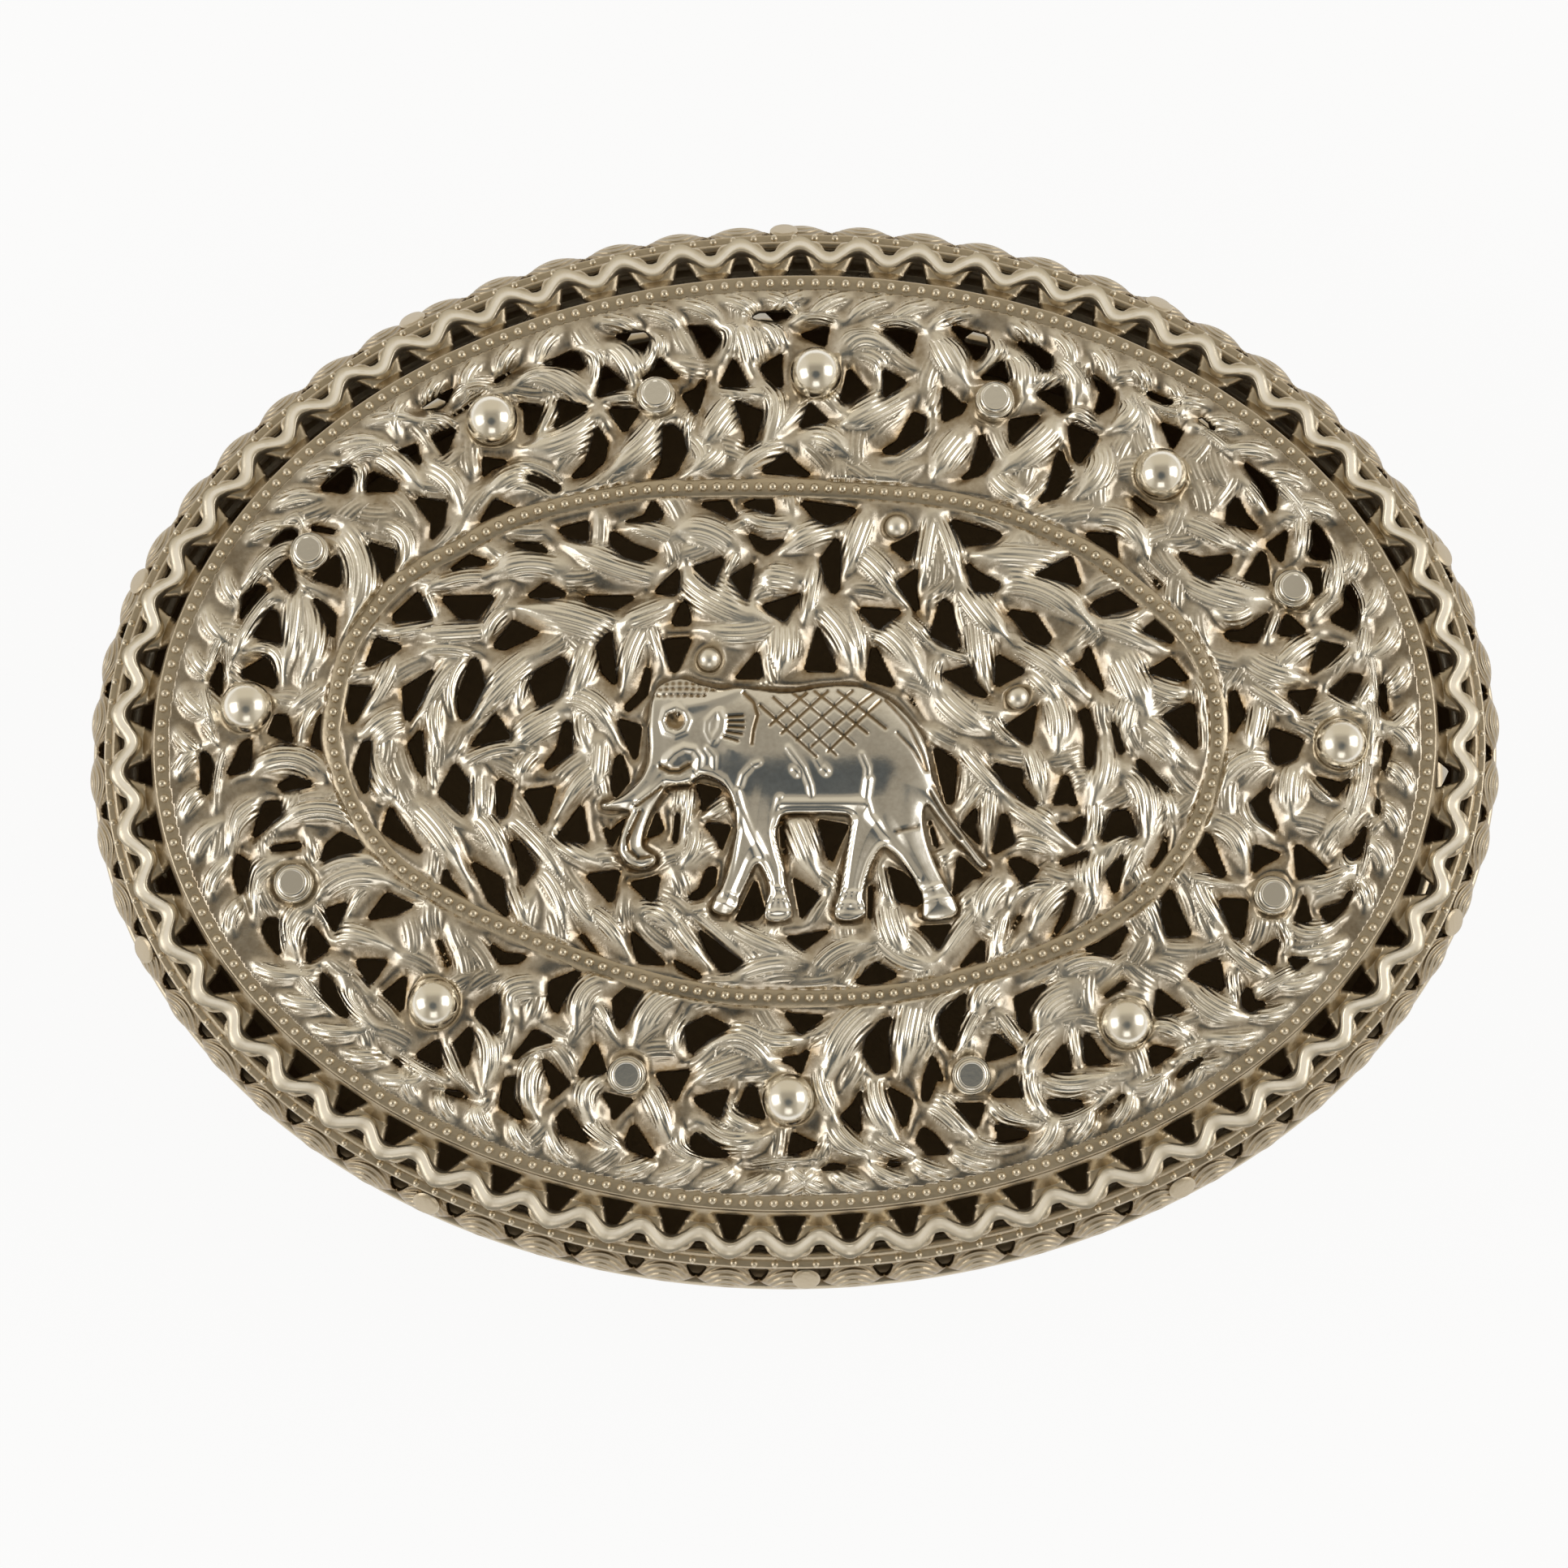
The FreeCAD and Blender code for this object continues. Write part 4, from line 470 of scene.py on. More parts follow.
BALL_SUNK_SHARE = 0.6
STEEP_SHARE = 0.9


def ball_mesh(radius, steps):
    """Ball with a flat foot below its middle."""
    return lathe(ball_profile(radius, -radius * BALL_SUNK_SHARE, steps), 2 * steps)


def placed(mesh, foot, axis):
    """A mesh stood on a point along an axis."""
    axis = np.asarray(axis, float) / np.linalg.norm(axis)
    side = np.cross((0, 1, 0) if abs(axis[1]) < STEEP_SHARE else (1, 0, 0), axis)
    side /= np.linalg.norm(side)
    points, faces = mesh
    return points @ np.stack([side, np.cross(axis, side), axis]) + foot, faces


MARKS = ("relief", "hatch", "engrave")
STUD_SHARP = 40
WIRE_SHARP = 50
STRIP_SHARP = 60


def piece(name, mesh, material, body, slot, nodes=(), sharp=None, underside_material=None, **values):
    """Blender object for a mesh on a body, in place of CAD nodes, a shell with a second material on its
    underside.
    """
    points, faces = mesh
    data = bpy.data.meshes.new(name)
    data.from_pydata((points * MM).tolist(), [], [corner for face in faces for corner in face.tolist()])
    data.shade_smooth()
    if sharp:
        data.set_sharp_from_angle(angle=math.radians(sharp))
    for key in MARKS:
        numbers = values.get(key, np.full(len(points), 1.0 if key == "relief" else 0.0))
        data.attributes.new(key, "FLOAT", "POINT").data.foreach_set("value", numbers.astype(np.float32))
    data.materials.append(material)
    if underside_material:
        data.materials.append(underside_material)
        half = len(faces) // 2
        layer = np.repeat([half <= i < 2 * half for i in range(len(faces))], [len(face) for face in faces])
        data.polygons.foreach_set("material_index", layer.astype(np.int32))
    thing = bpy.data.objects.new(name, data)
    bpy.context.scene.collection.objects.link(thing)
    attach(thing, body)
    if nodes:
        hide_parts(*nodes)
    return thing


# Tools for shader nodes
def feed(tree, socket, value):
    """A plain value on a socket, or a link to it from another."""
    if isinstance(value, bpy.types.NodeSocket):
        tree.links.new(value, socket)
    else:
        socket.default_value = value


def add(tree, kind, inputs=None, **settings):
    """New node with its settings and what its inputs get."""
    made = tree.nodes.new(kind)
    for key, value in settings.items():
        setattr(made, key, value)
    for key, value in (inputs or {}).items():
        feed(tree, made.inputs[key], value)
    return made


def maths(tree, operation, first, second):
    """Result of a sum on two sockets or numbers."""
    return add(tree, "ShaderNodeMath", {0: first, 1: second}, operation=operation).outputs[0]


# Materials
HATCH_PITCH_PX = 6.5
HATCH_TONE = 0.16
CLOUD = {"Scale": 240, "Detail": 4}
SPECK = {"Scale": 2600, "Detail": 3}
NOISE_MIDDLE = 0.5
CLOUD_TONE = 0.55
SPECK_TONE = 0.35
TINT_ENDS = (0.05, 0.85)
CLOUD_ENDS = (0.3, 0.7)


def silver(name, crest, recess, rough, grain, hatch_depth=0.0):
    """Silver that darkens in its recesses, with fine grain and engraved lines."""
    material = bpy.data.materials.new(name)
    material.use_nodes = True
    tree = material.node_tree
    shader = tree.nodes["Principled BSDF"]
    shader.inputs["Metallic"].default_value = 1.0
    place = add(tree, "ShaderNodeTexCoord").outputs["Object"]
    cloud, speck = (add(tree, "ShaderNodeTexNoise", {"Vector": place, **kind}).outputs["Fac"]
                    for kind in (CLOUD, SPECK))
    mottled = add(tree, "ShaderNodeAttribute", attribute_name="relief").outputs["Fac"]
    for noise, share in ((cloud, CLOUD_TONE), (speck, SPECK_TONE)):
        shade = maths(tree, "MULTIPLY", maths(tree, "SUBTRACT", noise, NOISE_MIDDLE), share)
        mottled = maths(tree, "ADD", mottled, shade)
    height = maths(tree, "MULTIPLY", speck, grain)
    if hatch_depth:
        lane = add(tree, "ShaderNodeAttribute", attribute_name="hatch").outputs["Fac"]
        mask = add(tree, "ShaderNodeAttribute", attribute_name="engrave").outputs["Fac"]
        wave = maths(tree, "SINE", maths(tree, "MULTIPLY", lane, 2 * math.pi / HATCH_PITCH_PX), 0.0)
        wave = maths(tree, "MULTIPLY", wave, mask)
        mottled = maths(tree, "ADD", mottled, maths(tree, "MULTIPLY", wave, HATCH_TONE))
        height = maths(tree, "ADD", height, maths(tree, "MULTIPLY", wave, hatch_depth))
    tint = add(tree, "ShaderNodeValToRGB", {"Fac": mottled})
    for stop, position, colour in zip(tint.color_ramp.elements, TINT_ENDS, (recess, crest)):
        stop.position = position
        stop.color = colour + (1,)
    feed(tree, shader.inputs["Base Color"], tint.outputs["Color"])
    ends = dict(zip(("From Min", "From Max", "To Min", "To Max"), CLOUD_ENDS + rough))
    roughness = add(tree, "ShaderNodeMapRange", {"Value": cloud, **ends})
    feed(tree, shader.inputs["Roughness"], roughness.outputs[0])
    bump = add(tree, "ShaderNodeBump", {"Strength": 1.0, "Distance": MM, "Height": height})
    feed(tree, shader.inputs["Normal"], bump.outputs["Normal"])
    return material


# Colours, then each silver with its range of roughness, grain and depth of engraved lines
CREST = (0.91, 0.86, 0.755)
BEIGE = (0.6, 0.51, 0.37)
RECESS = (0.27, 0.195, 0.11)
MATTE = (0.57, 0.485, 0.355)
RIBBON = (0.79, 0.72, 0.59)
BRIGHT = (0.92, 0.885, 0.81)
BEAD = (0.66, 0.58, 0.45)
# Colours of the inside: tarnish with painted shade, darker than the outside because the inside of the box
# lies in shadow
INSIDE_TARNISH_AND_SHADE = (0.27, 0.19, 0.105)
INSIDE_DEEPER_TARNISH_AND_SHADE = (0.1, 0.07, 0.038)
chased = silver("chased_silver_skin", CREST, RECESS, (0.19, 0.32), 0.02, hatch_depth=0.036)
banded = silver("banded_silver", MATTE, RECESS, (0.28, 0.42), 0.03, hatch_depth=0.07)
matted = silver("matted_silver", MATTE, RECESS, (0.3, 0.45), 0.04)
satin = silver("satin_silver", CREST, BEIGE, (0.26, 0.4), 0.015)
ribbon = silver("ribbon_silver", RIBBON, BEIGE, (0.34, 0.46), 0.02)
bright = silver("bright_silver", BRIGHT, RECESS, (0.13, 0.24), 0.006)
beaded = silver("beaded_silver", BEAD, RECESS, (0.26, 0.4), 0.02)
ball = silver("ball_silver", CREST, BEIGE, (0.15, 0.25), 0.01)
# Undersides and the inside of the box: tarnished silver with painted shade
inside_tarnish_and_shade = silver("inside_tarnish_and_painted_shade", INSIDE_TARNISH_AND_SHADE, INSIDE_DEEPER_TARNISH_AND_SHADE, (0.4, 0.6), 0.03)


# The panel: plan points, pixels of the photograph and the dome
TINY = 1e-9
FAR = 1e9
LIFT_ROUNDS = 4
MERGE_DIGITS = 6
UPWARD_SHARE = 0.5
TINY_AREA = 1e-18
TINY_RUN = 1e-12


def plan(pixels):
    """Plan points on the panel for pixels of the photograph."""
    pixels = np.asarray(pixels, float)
    across = pixels[..., 0] - PHOTO_MIDDLE_PX[0]
    up = PHOTO_MIDDLE_PX[1] - pixels[..., 1]
    u = (across * math.cos(PHOTO_TURN) + up * math.sin(PHOTO_TURN)) / PHOTO_HALF_PX[0]
    v = (up * math.cos(PHOTO_TURN) - across * math.sin(PHOTO_TURN)) / PHOTO_HALF_PX[1]
    v = v - PHOTO_LIFT_SHARE * np.maximum(0, 1 - u * u - v * v)
    reach = np.maximum(np.hypot(u, v), TINY)
    pressed = np.where(reach > EDGE_SHARE, EDGE_SHARE + EDGE_PRESS_SHARE * (reach - EDGE_SHARE), reach)
    return np.stack([u * pressed / reach * PANEL[0], v * pressed / reach * PANEL[1]], -1)


def photo(x, y):
    """Pixels of the photograph for plan points on the panel."""
    u = x / PANEL[0]
    v = y / PANEL[1]
    reach = np.maximum(np.hypot(u, v), TINY)
    loose = np.where(reach > EDGE_SHARE, EDGE_SHARE + (reach - EDGE_SHARE) / EDGE_PRESS_SHARE, reach)
    u = u * loose / reach
    flat = v * loose / reach
    v = flat
    for _ in range(LIFT_ROUNDS):
        v = flat + PHOTO_LIFT_SHARE * np.maximum(0, 1 - u * u - v * v)
    across = u * PHOTO_HALF_PX[0]
    up = v * PHOTO_HALF_PX[1]
    right = across * math.cos(PHOTO_TURN) - up * math.sin(PHOTO_TURN)
    rise = across * math.sin(PHOTO_TURN) + up * math.cos(PHOTO_TURN)
    return PHOTO_MIDDLE_PX[0] + right, PHOTO_MIDDLE_PX[1] - rise


def dome(x, y):
    """Height of the panel's outside."""
    stretched = y * PANEL[0] / PANEL[1]
    return DOME_TOP - DOME_RADIUS + np.sqrt(np.maximum(DOME_RADIUS ** 2 - x ** 2 - stretched ** 2, 0))


def on_dome(x, y, lift):
    """Points at a height over the panel's outside."""
    return np.stack(np.broadcast_arrays(x, y, dome(x, y) + lift), -1)


def dome_axis(x, y):
    """Direction square to the dome."""
    return np.array((x / DOME_RADIUS, y * (PANEL[0] / PANEL[1]) ** 2 / DOME_RADIUS, 1.0))


def top_outlines(node):
    """Closed plan outlines of the upward faces of a CAD node."""
    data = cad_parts[node].data
    points = np.empty(len(data.vertices) * 3)
    data.vertices.foreach_get("co", points)
    data.calc_loop_triangles()
    faces = np.empty(len(data.loop_triangles) * 3, int)
    data.loop_triangles.foreach_get("vertices", faces)
    places, merged = np.unique(np.round(points.reshape(-1, 3), MERGE_DIGITS), axis=0, return_inverse=True)
    faces = merged.ravel()[faces].reshape(-1, 3)
    corner = places[faces]
    normal = np.cross(corner[:, 1] - corner[:, 0], corner[:, 2] - corner[:, 0])
    faces = faces[normal[:, 2] > UPWARD_SHARE * np.linalg.norm(normal, axis=1) + TINY_AREA]
    edges = {(int(a), int(b)) for face in faces for a, b in zip(face, np.roll(face, -1))}
    ahead = {a: b for a, b in edges if (b, a) not in edges}
    loops = []
    while ahead:
        start, here = ahead.popitem()
        loop = [start]
        while here != start:
            loop.append(here)
            here = ahead.pop(here)
        loops.append(places[loop][:, :2] / MM)
    return loops


def nearest_on(path, closed, x, y):
    """Distance from grid points to a path, with its nearest points, the share along it and the side."""
    best = np.full(x.shape, FAR)
    near = np.zeros(x.shape + (2,))
    share = np.zeros(x.shape)
    side = np.zeros(x.shape)
    ends = np.roll(path, -1, 0) if closed else path[1:]
    for i, (start, end) in enumerate(zip(path, ends)):
        run = end - start
        along = ((x - start[0]) * run[0] + (y - start[1]) * run[1]) / max(run @ run, TINY_RUN)
        along = np.clip(along, 0, 1)
        gap_x = x - start[0] - along * run[0]
        gap_y = y - start[1] - along * run[1]
        gap = np.hypot(gap_x, gap_y)
        better = gap < best
        best = np.where(better, gap, best)
        near[better] = np.stack([x - gap_x, y - gap_y], -1)[better]
        share = np.where(better, (i + along) / len(ends), share)
        side = np.where(better, np.sign(run[0] * gap_y - run[1] * gap_x), side)
    return best, near, share, side


def inside_of(loop, x, y):
    """Which grid points lie in a closed outline."""
    within = np.zeros(x.shape, bool)
    for start, end in zip(loop, np.roll(loop, -1, 0)):
        crosses = (start[1] > y) != (end[1] > y)
        rise = end[1] - start[1] if end[1] != start[1] else 1.0
        within ^= crosses & (x < start[0] + (y - start[1]) / rise * (end[0] - start[0]))
    return within


class Field:
    """Square grid of plan points, with their places in the photograph."""

    def __init__(self, low, high, pitch):
        self.pitch = pitch
        self.low = np.asarray(low, float)
        steps = np.ceil((np.asarray(high) - self.low) / pitch).astype(int) + 1
        x = self.low[0] + np.arange(steps[0]) * pitch
        y = self.low[1] + np.arange(steps[1]) * pitch
        self.x, self.y = np.meshgrid(x, y, indexing="ij")
        self.px, self.py = photo(self.x, self.y)

    def window(self, points, margin):
        """Part of the grid within margin of some plan points."""
        first = np.floor((points.min(0) - margin - self.low) / self.pitch).astype(int)
        last = np.ceil((points.max(0) + margin - self.low) / self.pitch).astype(int) + 1
        first = np.maximum(first, 0)
        return slice(first[0], max(last[0], 0)), slice(first[1], max(last[1], 0))

    def nearest(self, path, margin, closed, pixels=False):
        """Window round a path, and what nearest_on finds in it."""
        area = self.window(plan(path) if pixels else path, margin)
        x, y = (self.px, self.py) if pixels else (self.x, self.y)
        return (area,) + nearest_on(path, closed, x[area], y[area])

    def inside(self, area, loop):
        """Which points of a window lie in a closed outline."""
        return inside_of(loop, self.x[area], self.y[area])


def spine(root, middle, tip, steps):
    """Smooth line through three points."""
    share = np.linspace(0, 1, steps)[:, None]
    control = 2 * middle - (root + tip) / 2
    return (1 - share) ** 2 * root + 2 * share * (1 - share) * control + share ** 2 * tip


def closed_curve(points, steps):
    """Smooth closed line through points."""
    points = np.asarray(points, float)
    share = np.linspace(0, 1, steps, endpoint=False)[:, None]
    pieces = []
    for i in range(len(points)):
        a, b, c, d = points[i - 1], points[i], points[(i + 1) % len(points)], points[(i + 2) % len(points)]
        cubic = 2 * b + (c - a) * share + (2 * a - 5 * b + 4 * c - d) * share ** 2
        pieces.append((cubic + (3 * b - a - 3 * c + d) * share ** 3) / 2)
    return np.concatenate(pieces)


def evenly(path, count):
    """Points spaced evenly along a closed line."""
    path = np.concatenate([path, path[:1]])
    walk = np.concatenate([[0], np.cumsum(np.linalg.norm(np.diff(path, axis=0), axis=1))])
    goal = np.linspace(0, walk[-1], count, endpoint=False)
    return np.stack([np.interp(goal, walk, path[:, i]) for i in range(path.shape[1])], -1)


def swell(distance, wide):
    """Rounded rise from nought at an edge to one at wide inside it."""
    return np.sqrt(np.maximum(0, 1 - (1 - np.clip(distance / wide, 0, 1)) ** 2))


def eased(value, low, high):
    """Smooth step from nought at low to one at high."""
    share = np.clip((value - low) / (high - low), 0, 1)
    return share * share * (3 - 2 * share)


# Relief of the panel: ground, swelling metal between the holes and the leaves laid over it
GRID = 0.17
HOLE_REACH = 2.2
GROUND = -0.65
PANEL_UNDER = -1.0
PILLOW_HIGH = 0.6
PILLOW_WIDE = 1.7
LEAF_STEPS = 13
LEAF_REACH = 2.4
LEAF_SPREAD = 1.15
LEAF_HIGH = 0.72
LEAF_SIZE_SHARES = (0.7, 0.3)
LEAF_WIDE_SHARES = (0.65, 0.35)
LEAF_ARCH_POWER = 1.2
LEAF_FULL_PX = 24
LEAF_LEAST = 1e-3
ENGRAVED_BODY_SHARES = (0.3, 0.75)
ENGRAVED_ROOT_SHARES = (0.02, 0.15)
ENGRAVED_TIP_SHARES = (0.5, 0.8)
SOFT_SHARES = (0.1, 0.22, 0.36, 0.22, 0.1)
RELIEF_LIMIT = 0.67
PANEL_END_SHARE = 0.9995
STRIP_LEVEL = -0.3
RIM_STRIP_SHARES = (0.972, 0.994)
METAL_TONE = 0.32
METAL_WIDE = 1.0
LEAF_TONE = 0.78

field = Field(-PANEL, PANEL, GRID)
outlines = sorted(top_outlines("lid_panel"), key=lambda loop: np.ptp(loop[:, 0]))
gap = np.full(field.x.shape, HOLE_REACH)
near = np.zeros(field.x.shape + (2,))
cut = np.zeros(field.x.shape, bool)
for loop in outlines[:-1]:
    area, away, spot, _, _ = field.nearest(loop, HOLE_REACH, True)
    closer = away < gap[area]
    gap[area] = np.where(closer, away, gap[area])
    near[area][closer] = spot[closer]
    cut[area] |= field.inside(area, loop)
snapped = gap < GRID / 2
x = np.where(snapped, near[..., 0], field.x)
y = np.where(snapped, near[..., 1], field.y)
reach = np.hypot(field.x / PANEL[0], field.y / PANEL[1])
keep = (~cut | snapped) & (reach < PANEL_END_SHARE)
gap = np.where(cut | snapped, 0, gap)

leafy = np.zeros(gap.shape)
hatch = np.zeros(gap.shape)
engrave = np.zeros(gap.shape)


def lay_leaf(path, half, pixels, strength=1.0):
    """One leaf raised along a line, with the place for its engraved lines."""
    area, away, _, share, side = field.nearest(path, LEAF_REACH, False, pixels)
    scale = 1 if pixels else PX_PER_MM
    plump = LEAF_WIDE_SHARES[0] + LEAF_WIDE_SHARES[1] * np.sin(np.pi * share)
    wide = half * LEAF_SPREAD * (1 - share ** 3) * plump + LEAF_LEAST
    body = np.sqrt(np.maximum(0, 1 - (away / wide) ** 2))
    high = LEAF_SIZE_SHARES[0] + LEAF_SIZE_SHARES[1] * half * scale / LEAF_FULL_PX
    high = high * (1 + np.sin(np.pi * share ** LEAF_ARCH_POWER)) / 2 * body * strength
    higher = high > leafy[area]
    leafy[area] = np.where(higher, high, leafy[area])
    hatch[area] = np.where(higher, side * away * scale, hatch[area])
    drawn = eased(body, *ENGRAVED_BODY_SHARES) * eased(share, *ENGRAVED_ROOT_SHARES)
    drawn = drawn * (1 - eased(share, *ENGRAVED_TIP_SHARES)) * strength
    engrave[area] = np.where(higher, drawn, engrave[area])


def softened(values):
    """Grid values evened out over a few cells."""
    reach = len(SOFT_SHARES) // 2
    for axis in (0, 1):
        values = sum(share * np.roll(values, i - reach, axis) for i, share in enumerate(SOFT_SHARES))
    return values


for leaf in LEAVES_PX:
    root, middle, tip = np.array(leaf[:6], float).reshape(3, 2)
    lay_leaf(spine(root, middle, tip, LEAF_STEPS), leaf[6], True)

# Small leaves along the panel's edge, which lean the other way in every other scroll
RIM_LEAVES = 80
RIM_SCROLLS = 16
RIM_LEAF_HALF = 0.75
RIM_SHARES = (0.985, 0.96, 0.915)
RIM_TURNS = (0.0, 0.04, 0.07)
for k in range(RIM_LEAVES):
    lean = 1 if k * RIM_SCROLLS // RIM_LEAVES % 2 else -1
    turns = angles_at(HALF[0] - PANEL[0], (k + 0.5) / RIM_LEAVES) + lean * np.array(RIM_TURNS)
    knots = [PANEL * share * (math.cos(a), math.sin(a)) for share, a in zip(RIM_SHARES, turns)]
    lay_leaf(spine(*knots, LEAF_STEPS), RIM_LEAF_HALF, False)

# Room for the elephant, the studs and the frame
FIGURE_CURVE_STEPS = 4
FIGURE_REACH = 1.0
FIGURE_ROOM = (0.05, 0.5)
STUD_ROOMS = ((BERRIES_PX, 1.75), (PEGS_PX, 1.6), (BUDS_PX, 0.9))
STUD_REACH = 1
STUD_EDGES = (-0.2, 0.4)
FRAME_KNOT_STEPS = 8
FRAME_REACH = 1.2
FRAME_STRIP_SHARES = (0.4, 0.7)
figure = plan(closed_curve(FIGURE_PX, FIGURE_CURVE_STEPS))
room = np.ones(gap.shape)
area, away, _, _, _ = field.nearest(figure, FIGURE_REACH, True)
room[area] *= np.where(field.inside(area, figure), 0, eased(away, *FIGURE_ROOM))
for spots, radius in STUD_ROOMS:
    for spot in plan(spots):
        area = field.window(spot[None], radius + STUD_REACH)
        away = np.hypot(field.x[area] - spot[0], field.y[area] - spot[1])
        room[area] = np.minimum(room[area], eased(away, radius + STUD_EDGES[0], radius + STUD_EDGES[1]))
frame_path = closed_curve(plan(FRAME_PX), FRAME_KNOT_STEPS)[::-1]
strip = np.zeros(gap.shape)
for i in range(0, len(frame_path), FRAME_KNOT_STEPS):
    stretch = frame_path[np.arange(i, i + FRAME_KNOT_STEPS + 1) % len(frame_path)]
    area, away, _, _, _ = field.nearest(stretch, FRAME_REACH, False)
    strip[area] = np.maximum(strip[area], 1 - eased(away / FRAME_WIDE, *FRAME_STRIP_SHARES))

# Low leaves that fill the metal the others leave bare
FILL_PITCH = 1.9
FILL_STRENGTH = 0.5
FILL_GAP = 0.5
FILL_LENGTH = 3.8
FILL_HALF = 0.9
FILL_BEND_SHARE = 0.16
FILL_END_SHARE = 0.95
FILL_BARE = 0.15
FILL_SLOPE = 0.2
slope_x, slope_y = np.gradient(softened(gap), GRID)
every = int(FILL_PITCH / GRID)
for i in range(0, gap.shape[0], every):
    for j in range(0, gap.shape[1], every):
        bare = keep[i, j] and leafy[i, j] < FILL_BARE and gap[i, j] > FILL_GAP
        if not bare or reach[i, j] >= FILL_END_SHARE or room[i, j] < 1 or strip[i, j] > 0:
            continue
        spot = np.array((field.x[i, j], field.y[i, j]))
        along = np.array((-slope_y[i, j], slope_x[i, j]))
        if np.linalg.norm(along) < FILL_SLOPE:
            along = np.array((-spot[1], spot[0])) / PANEL ** 2
        along = along / np.linalg.norm(along) * FILL_LENGTH / 2
        bend = np.array((-along[1], along[0])) * FILL_BEND_SHARE * (1 if (i + j) // every % 2 else -1)
        path = spine(spot - along, spot + bend, spot + along, LEAF_STEPS)
        lay_leaf(path, FILL_HALF, False, FILL_STRENGTH)

# The panel as two closed shells, inside the frame and outside it
limit = RELIEF_LIMIT + DOME_TOP - dome(field.x, field.y)
relief = PILLOW_HIGH * swell(gap, PILLOW_WIDE) + LEAF_HIGH * leafy * swell(gap, PILLOW_WIDE / 2)
height = softened(relief * room) + GROUND
height = height * (1 - strip) + STRIP_LEVEL * strip
height = np.minimum(height * (1 - eased(reach, *RIM_STRIP_SHARES)), limit)
points = on_dome(x, y, height).reshape(-1, 3)
under = on_dome(x, y, PANEL_UNDER).reshape(-1, 3)
faces = grid_faces(np.arange(len(points)).reshape(x.shape), keep.ravel())
centre = field.inside((slice(None), slice(None)), frame_path).ravel()
shown = softened(np.clip(METAL_TONE * swell(gap, METAL_WIDE) + LEAF_TONE * leafy * room, 0, 1)).ravel()
# The panel's underside takes the inside silver at its darkest tone, painted shade over tarnish
for name, inside in (("leaf_field", True), ("leaf_scrolls", False)):
    chosen = [face[centre[face[:, 0]] == inside] for face in faces]
    top, chosen, below, tone, lane, mask = pruned(
        points, chosen, under, shown, hatch.ravel(), (engrave * room).ravel())
    none = np.zeros(len(tone))
    piece(name, shell(top, below, chosen), chased, "lid", "chased_silver", ("lid_panel",), underside_material=inside_tarnish_and_shade,
          relief=np.concatenate([tone, none]), hatch=np.concatenate([lane, none]),
          engrave=np.concatenate([mask, none]))

# Elephant
FIGURE_GRID = 0.1
FIGURE_EDGE = -0.3
FIGURE_RISE = 0.82
FIGURE_ROUND = 3.4
FIGURE_LIMITS = (-0.45, 0.68)
FIGURE_SUNK = 0.1
FIGURE_UNDER = GROUND - FIGURE_SUNK
FIGURE_TONE = 0.14
FIGURE_TONE_LEVEL = 0.8
FIGURE_TONE_EDGES = (-0.2, 0.3)
BELLY_DROP = 0.42
BELLY_PX = (926, 984)
BELLY_SIDES_PX = ((885, 925), (1080, 1115))
BELLY_EDGES = (0, 0.6)
STROKE_REACH = 1.6
STROKE_EDGES = (-0.05, 0.25)
CROWN_DOT = -0.14
CROWN_DOT_PX = 3
CROWN_ROWS_PX = ((845, 818, 862), (852, 810, 876), (860, 808, 868))
CROWN_STEP_PX = 8
stage = Field(figure.min(0) - FIGURE_GRID, figure.max(0) + FIGURE_GRID, FIGURE_GRID)
area, away, near, _, _ = stage.nearest(figure, FIGURE_ROUND, True)
within = stage.inside(area, figure)
snapped = away < FIGURE_GRID / 2
depth = np.where(within & ~snapped, away, 0)
high = FIGURE_EDGE + FIGURE_RISE * swell(depth, FIGURE_ROUND)
flank = eased(stage.px, *BELLY_SIDES_PX[0]) * (1 - eased(stage.px, *BELLY_SIDES_PX[1]))
high -= BELLY_DROP * flank * eased(stage.py, *BELLY_PX) * eased(depth, *BELLY_EDGES)
dots = [(CROWN_DOT, CROWN_DOT_PX, ((dot, row), (dot + 1, row)))
        for row, first, last in CROWN_ROWS_PX for dot in range(first, last, CROWN_STEP_PX)]
lines = np.zeros(high.shape)
for amount, half, line in FIGURE_LINES_PX + tuple(dots):
    patch, off, _, _, _ = stage.nearest(np.array(line, float), STROKE_REACH, False, True)
    stroke = amount * np.exp(-(off / half) ** 2) * eased(depth[patch], *STROKE_EDGES)
    lines[patch] = np.where(np.abs(stroke) > np.abs(lines[patch]), stroke, lines[patch])
high = np.clip(high + lines, FIGURE_LIMITS[0], FIGURE_LIMITS[1])
tone = np.clip(FIGURE_TONE_LEVEL + lines / FIGURE_TONE, 0, 1) * eased(depth, *FIGURE_TONE_EDGES)
x = np.where(snapped, near[..., 0], stage.x)
y = np.where(snapped, near[..., 1], stage.y)
top = on_dome(x, y, high).reshape(-1, 3)
under = on_dome(x, y, FIGURE_UNDER).reshape(-1, 3)
faces = grid_faces(np.arange(x.size).reshape(x.shape), (within | snapped).ravel())
top, faces, under, tone = pruned(top, faces, under, tone.ravel())
piece("elephant_relief", shell(top, under, faces), bright, "lid", "polished_silver", ("elephant_figure",),
      sharp=WIRE_SHARP, relief=np.concatenate([tone, np.zeros(len(tone))]))

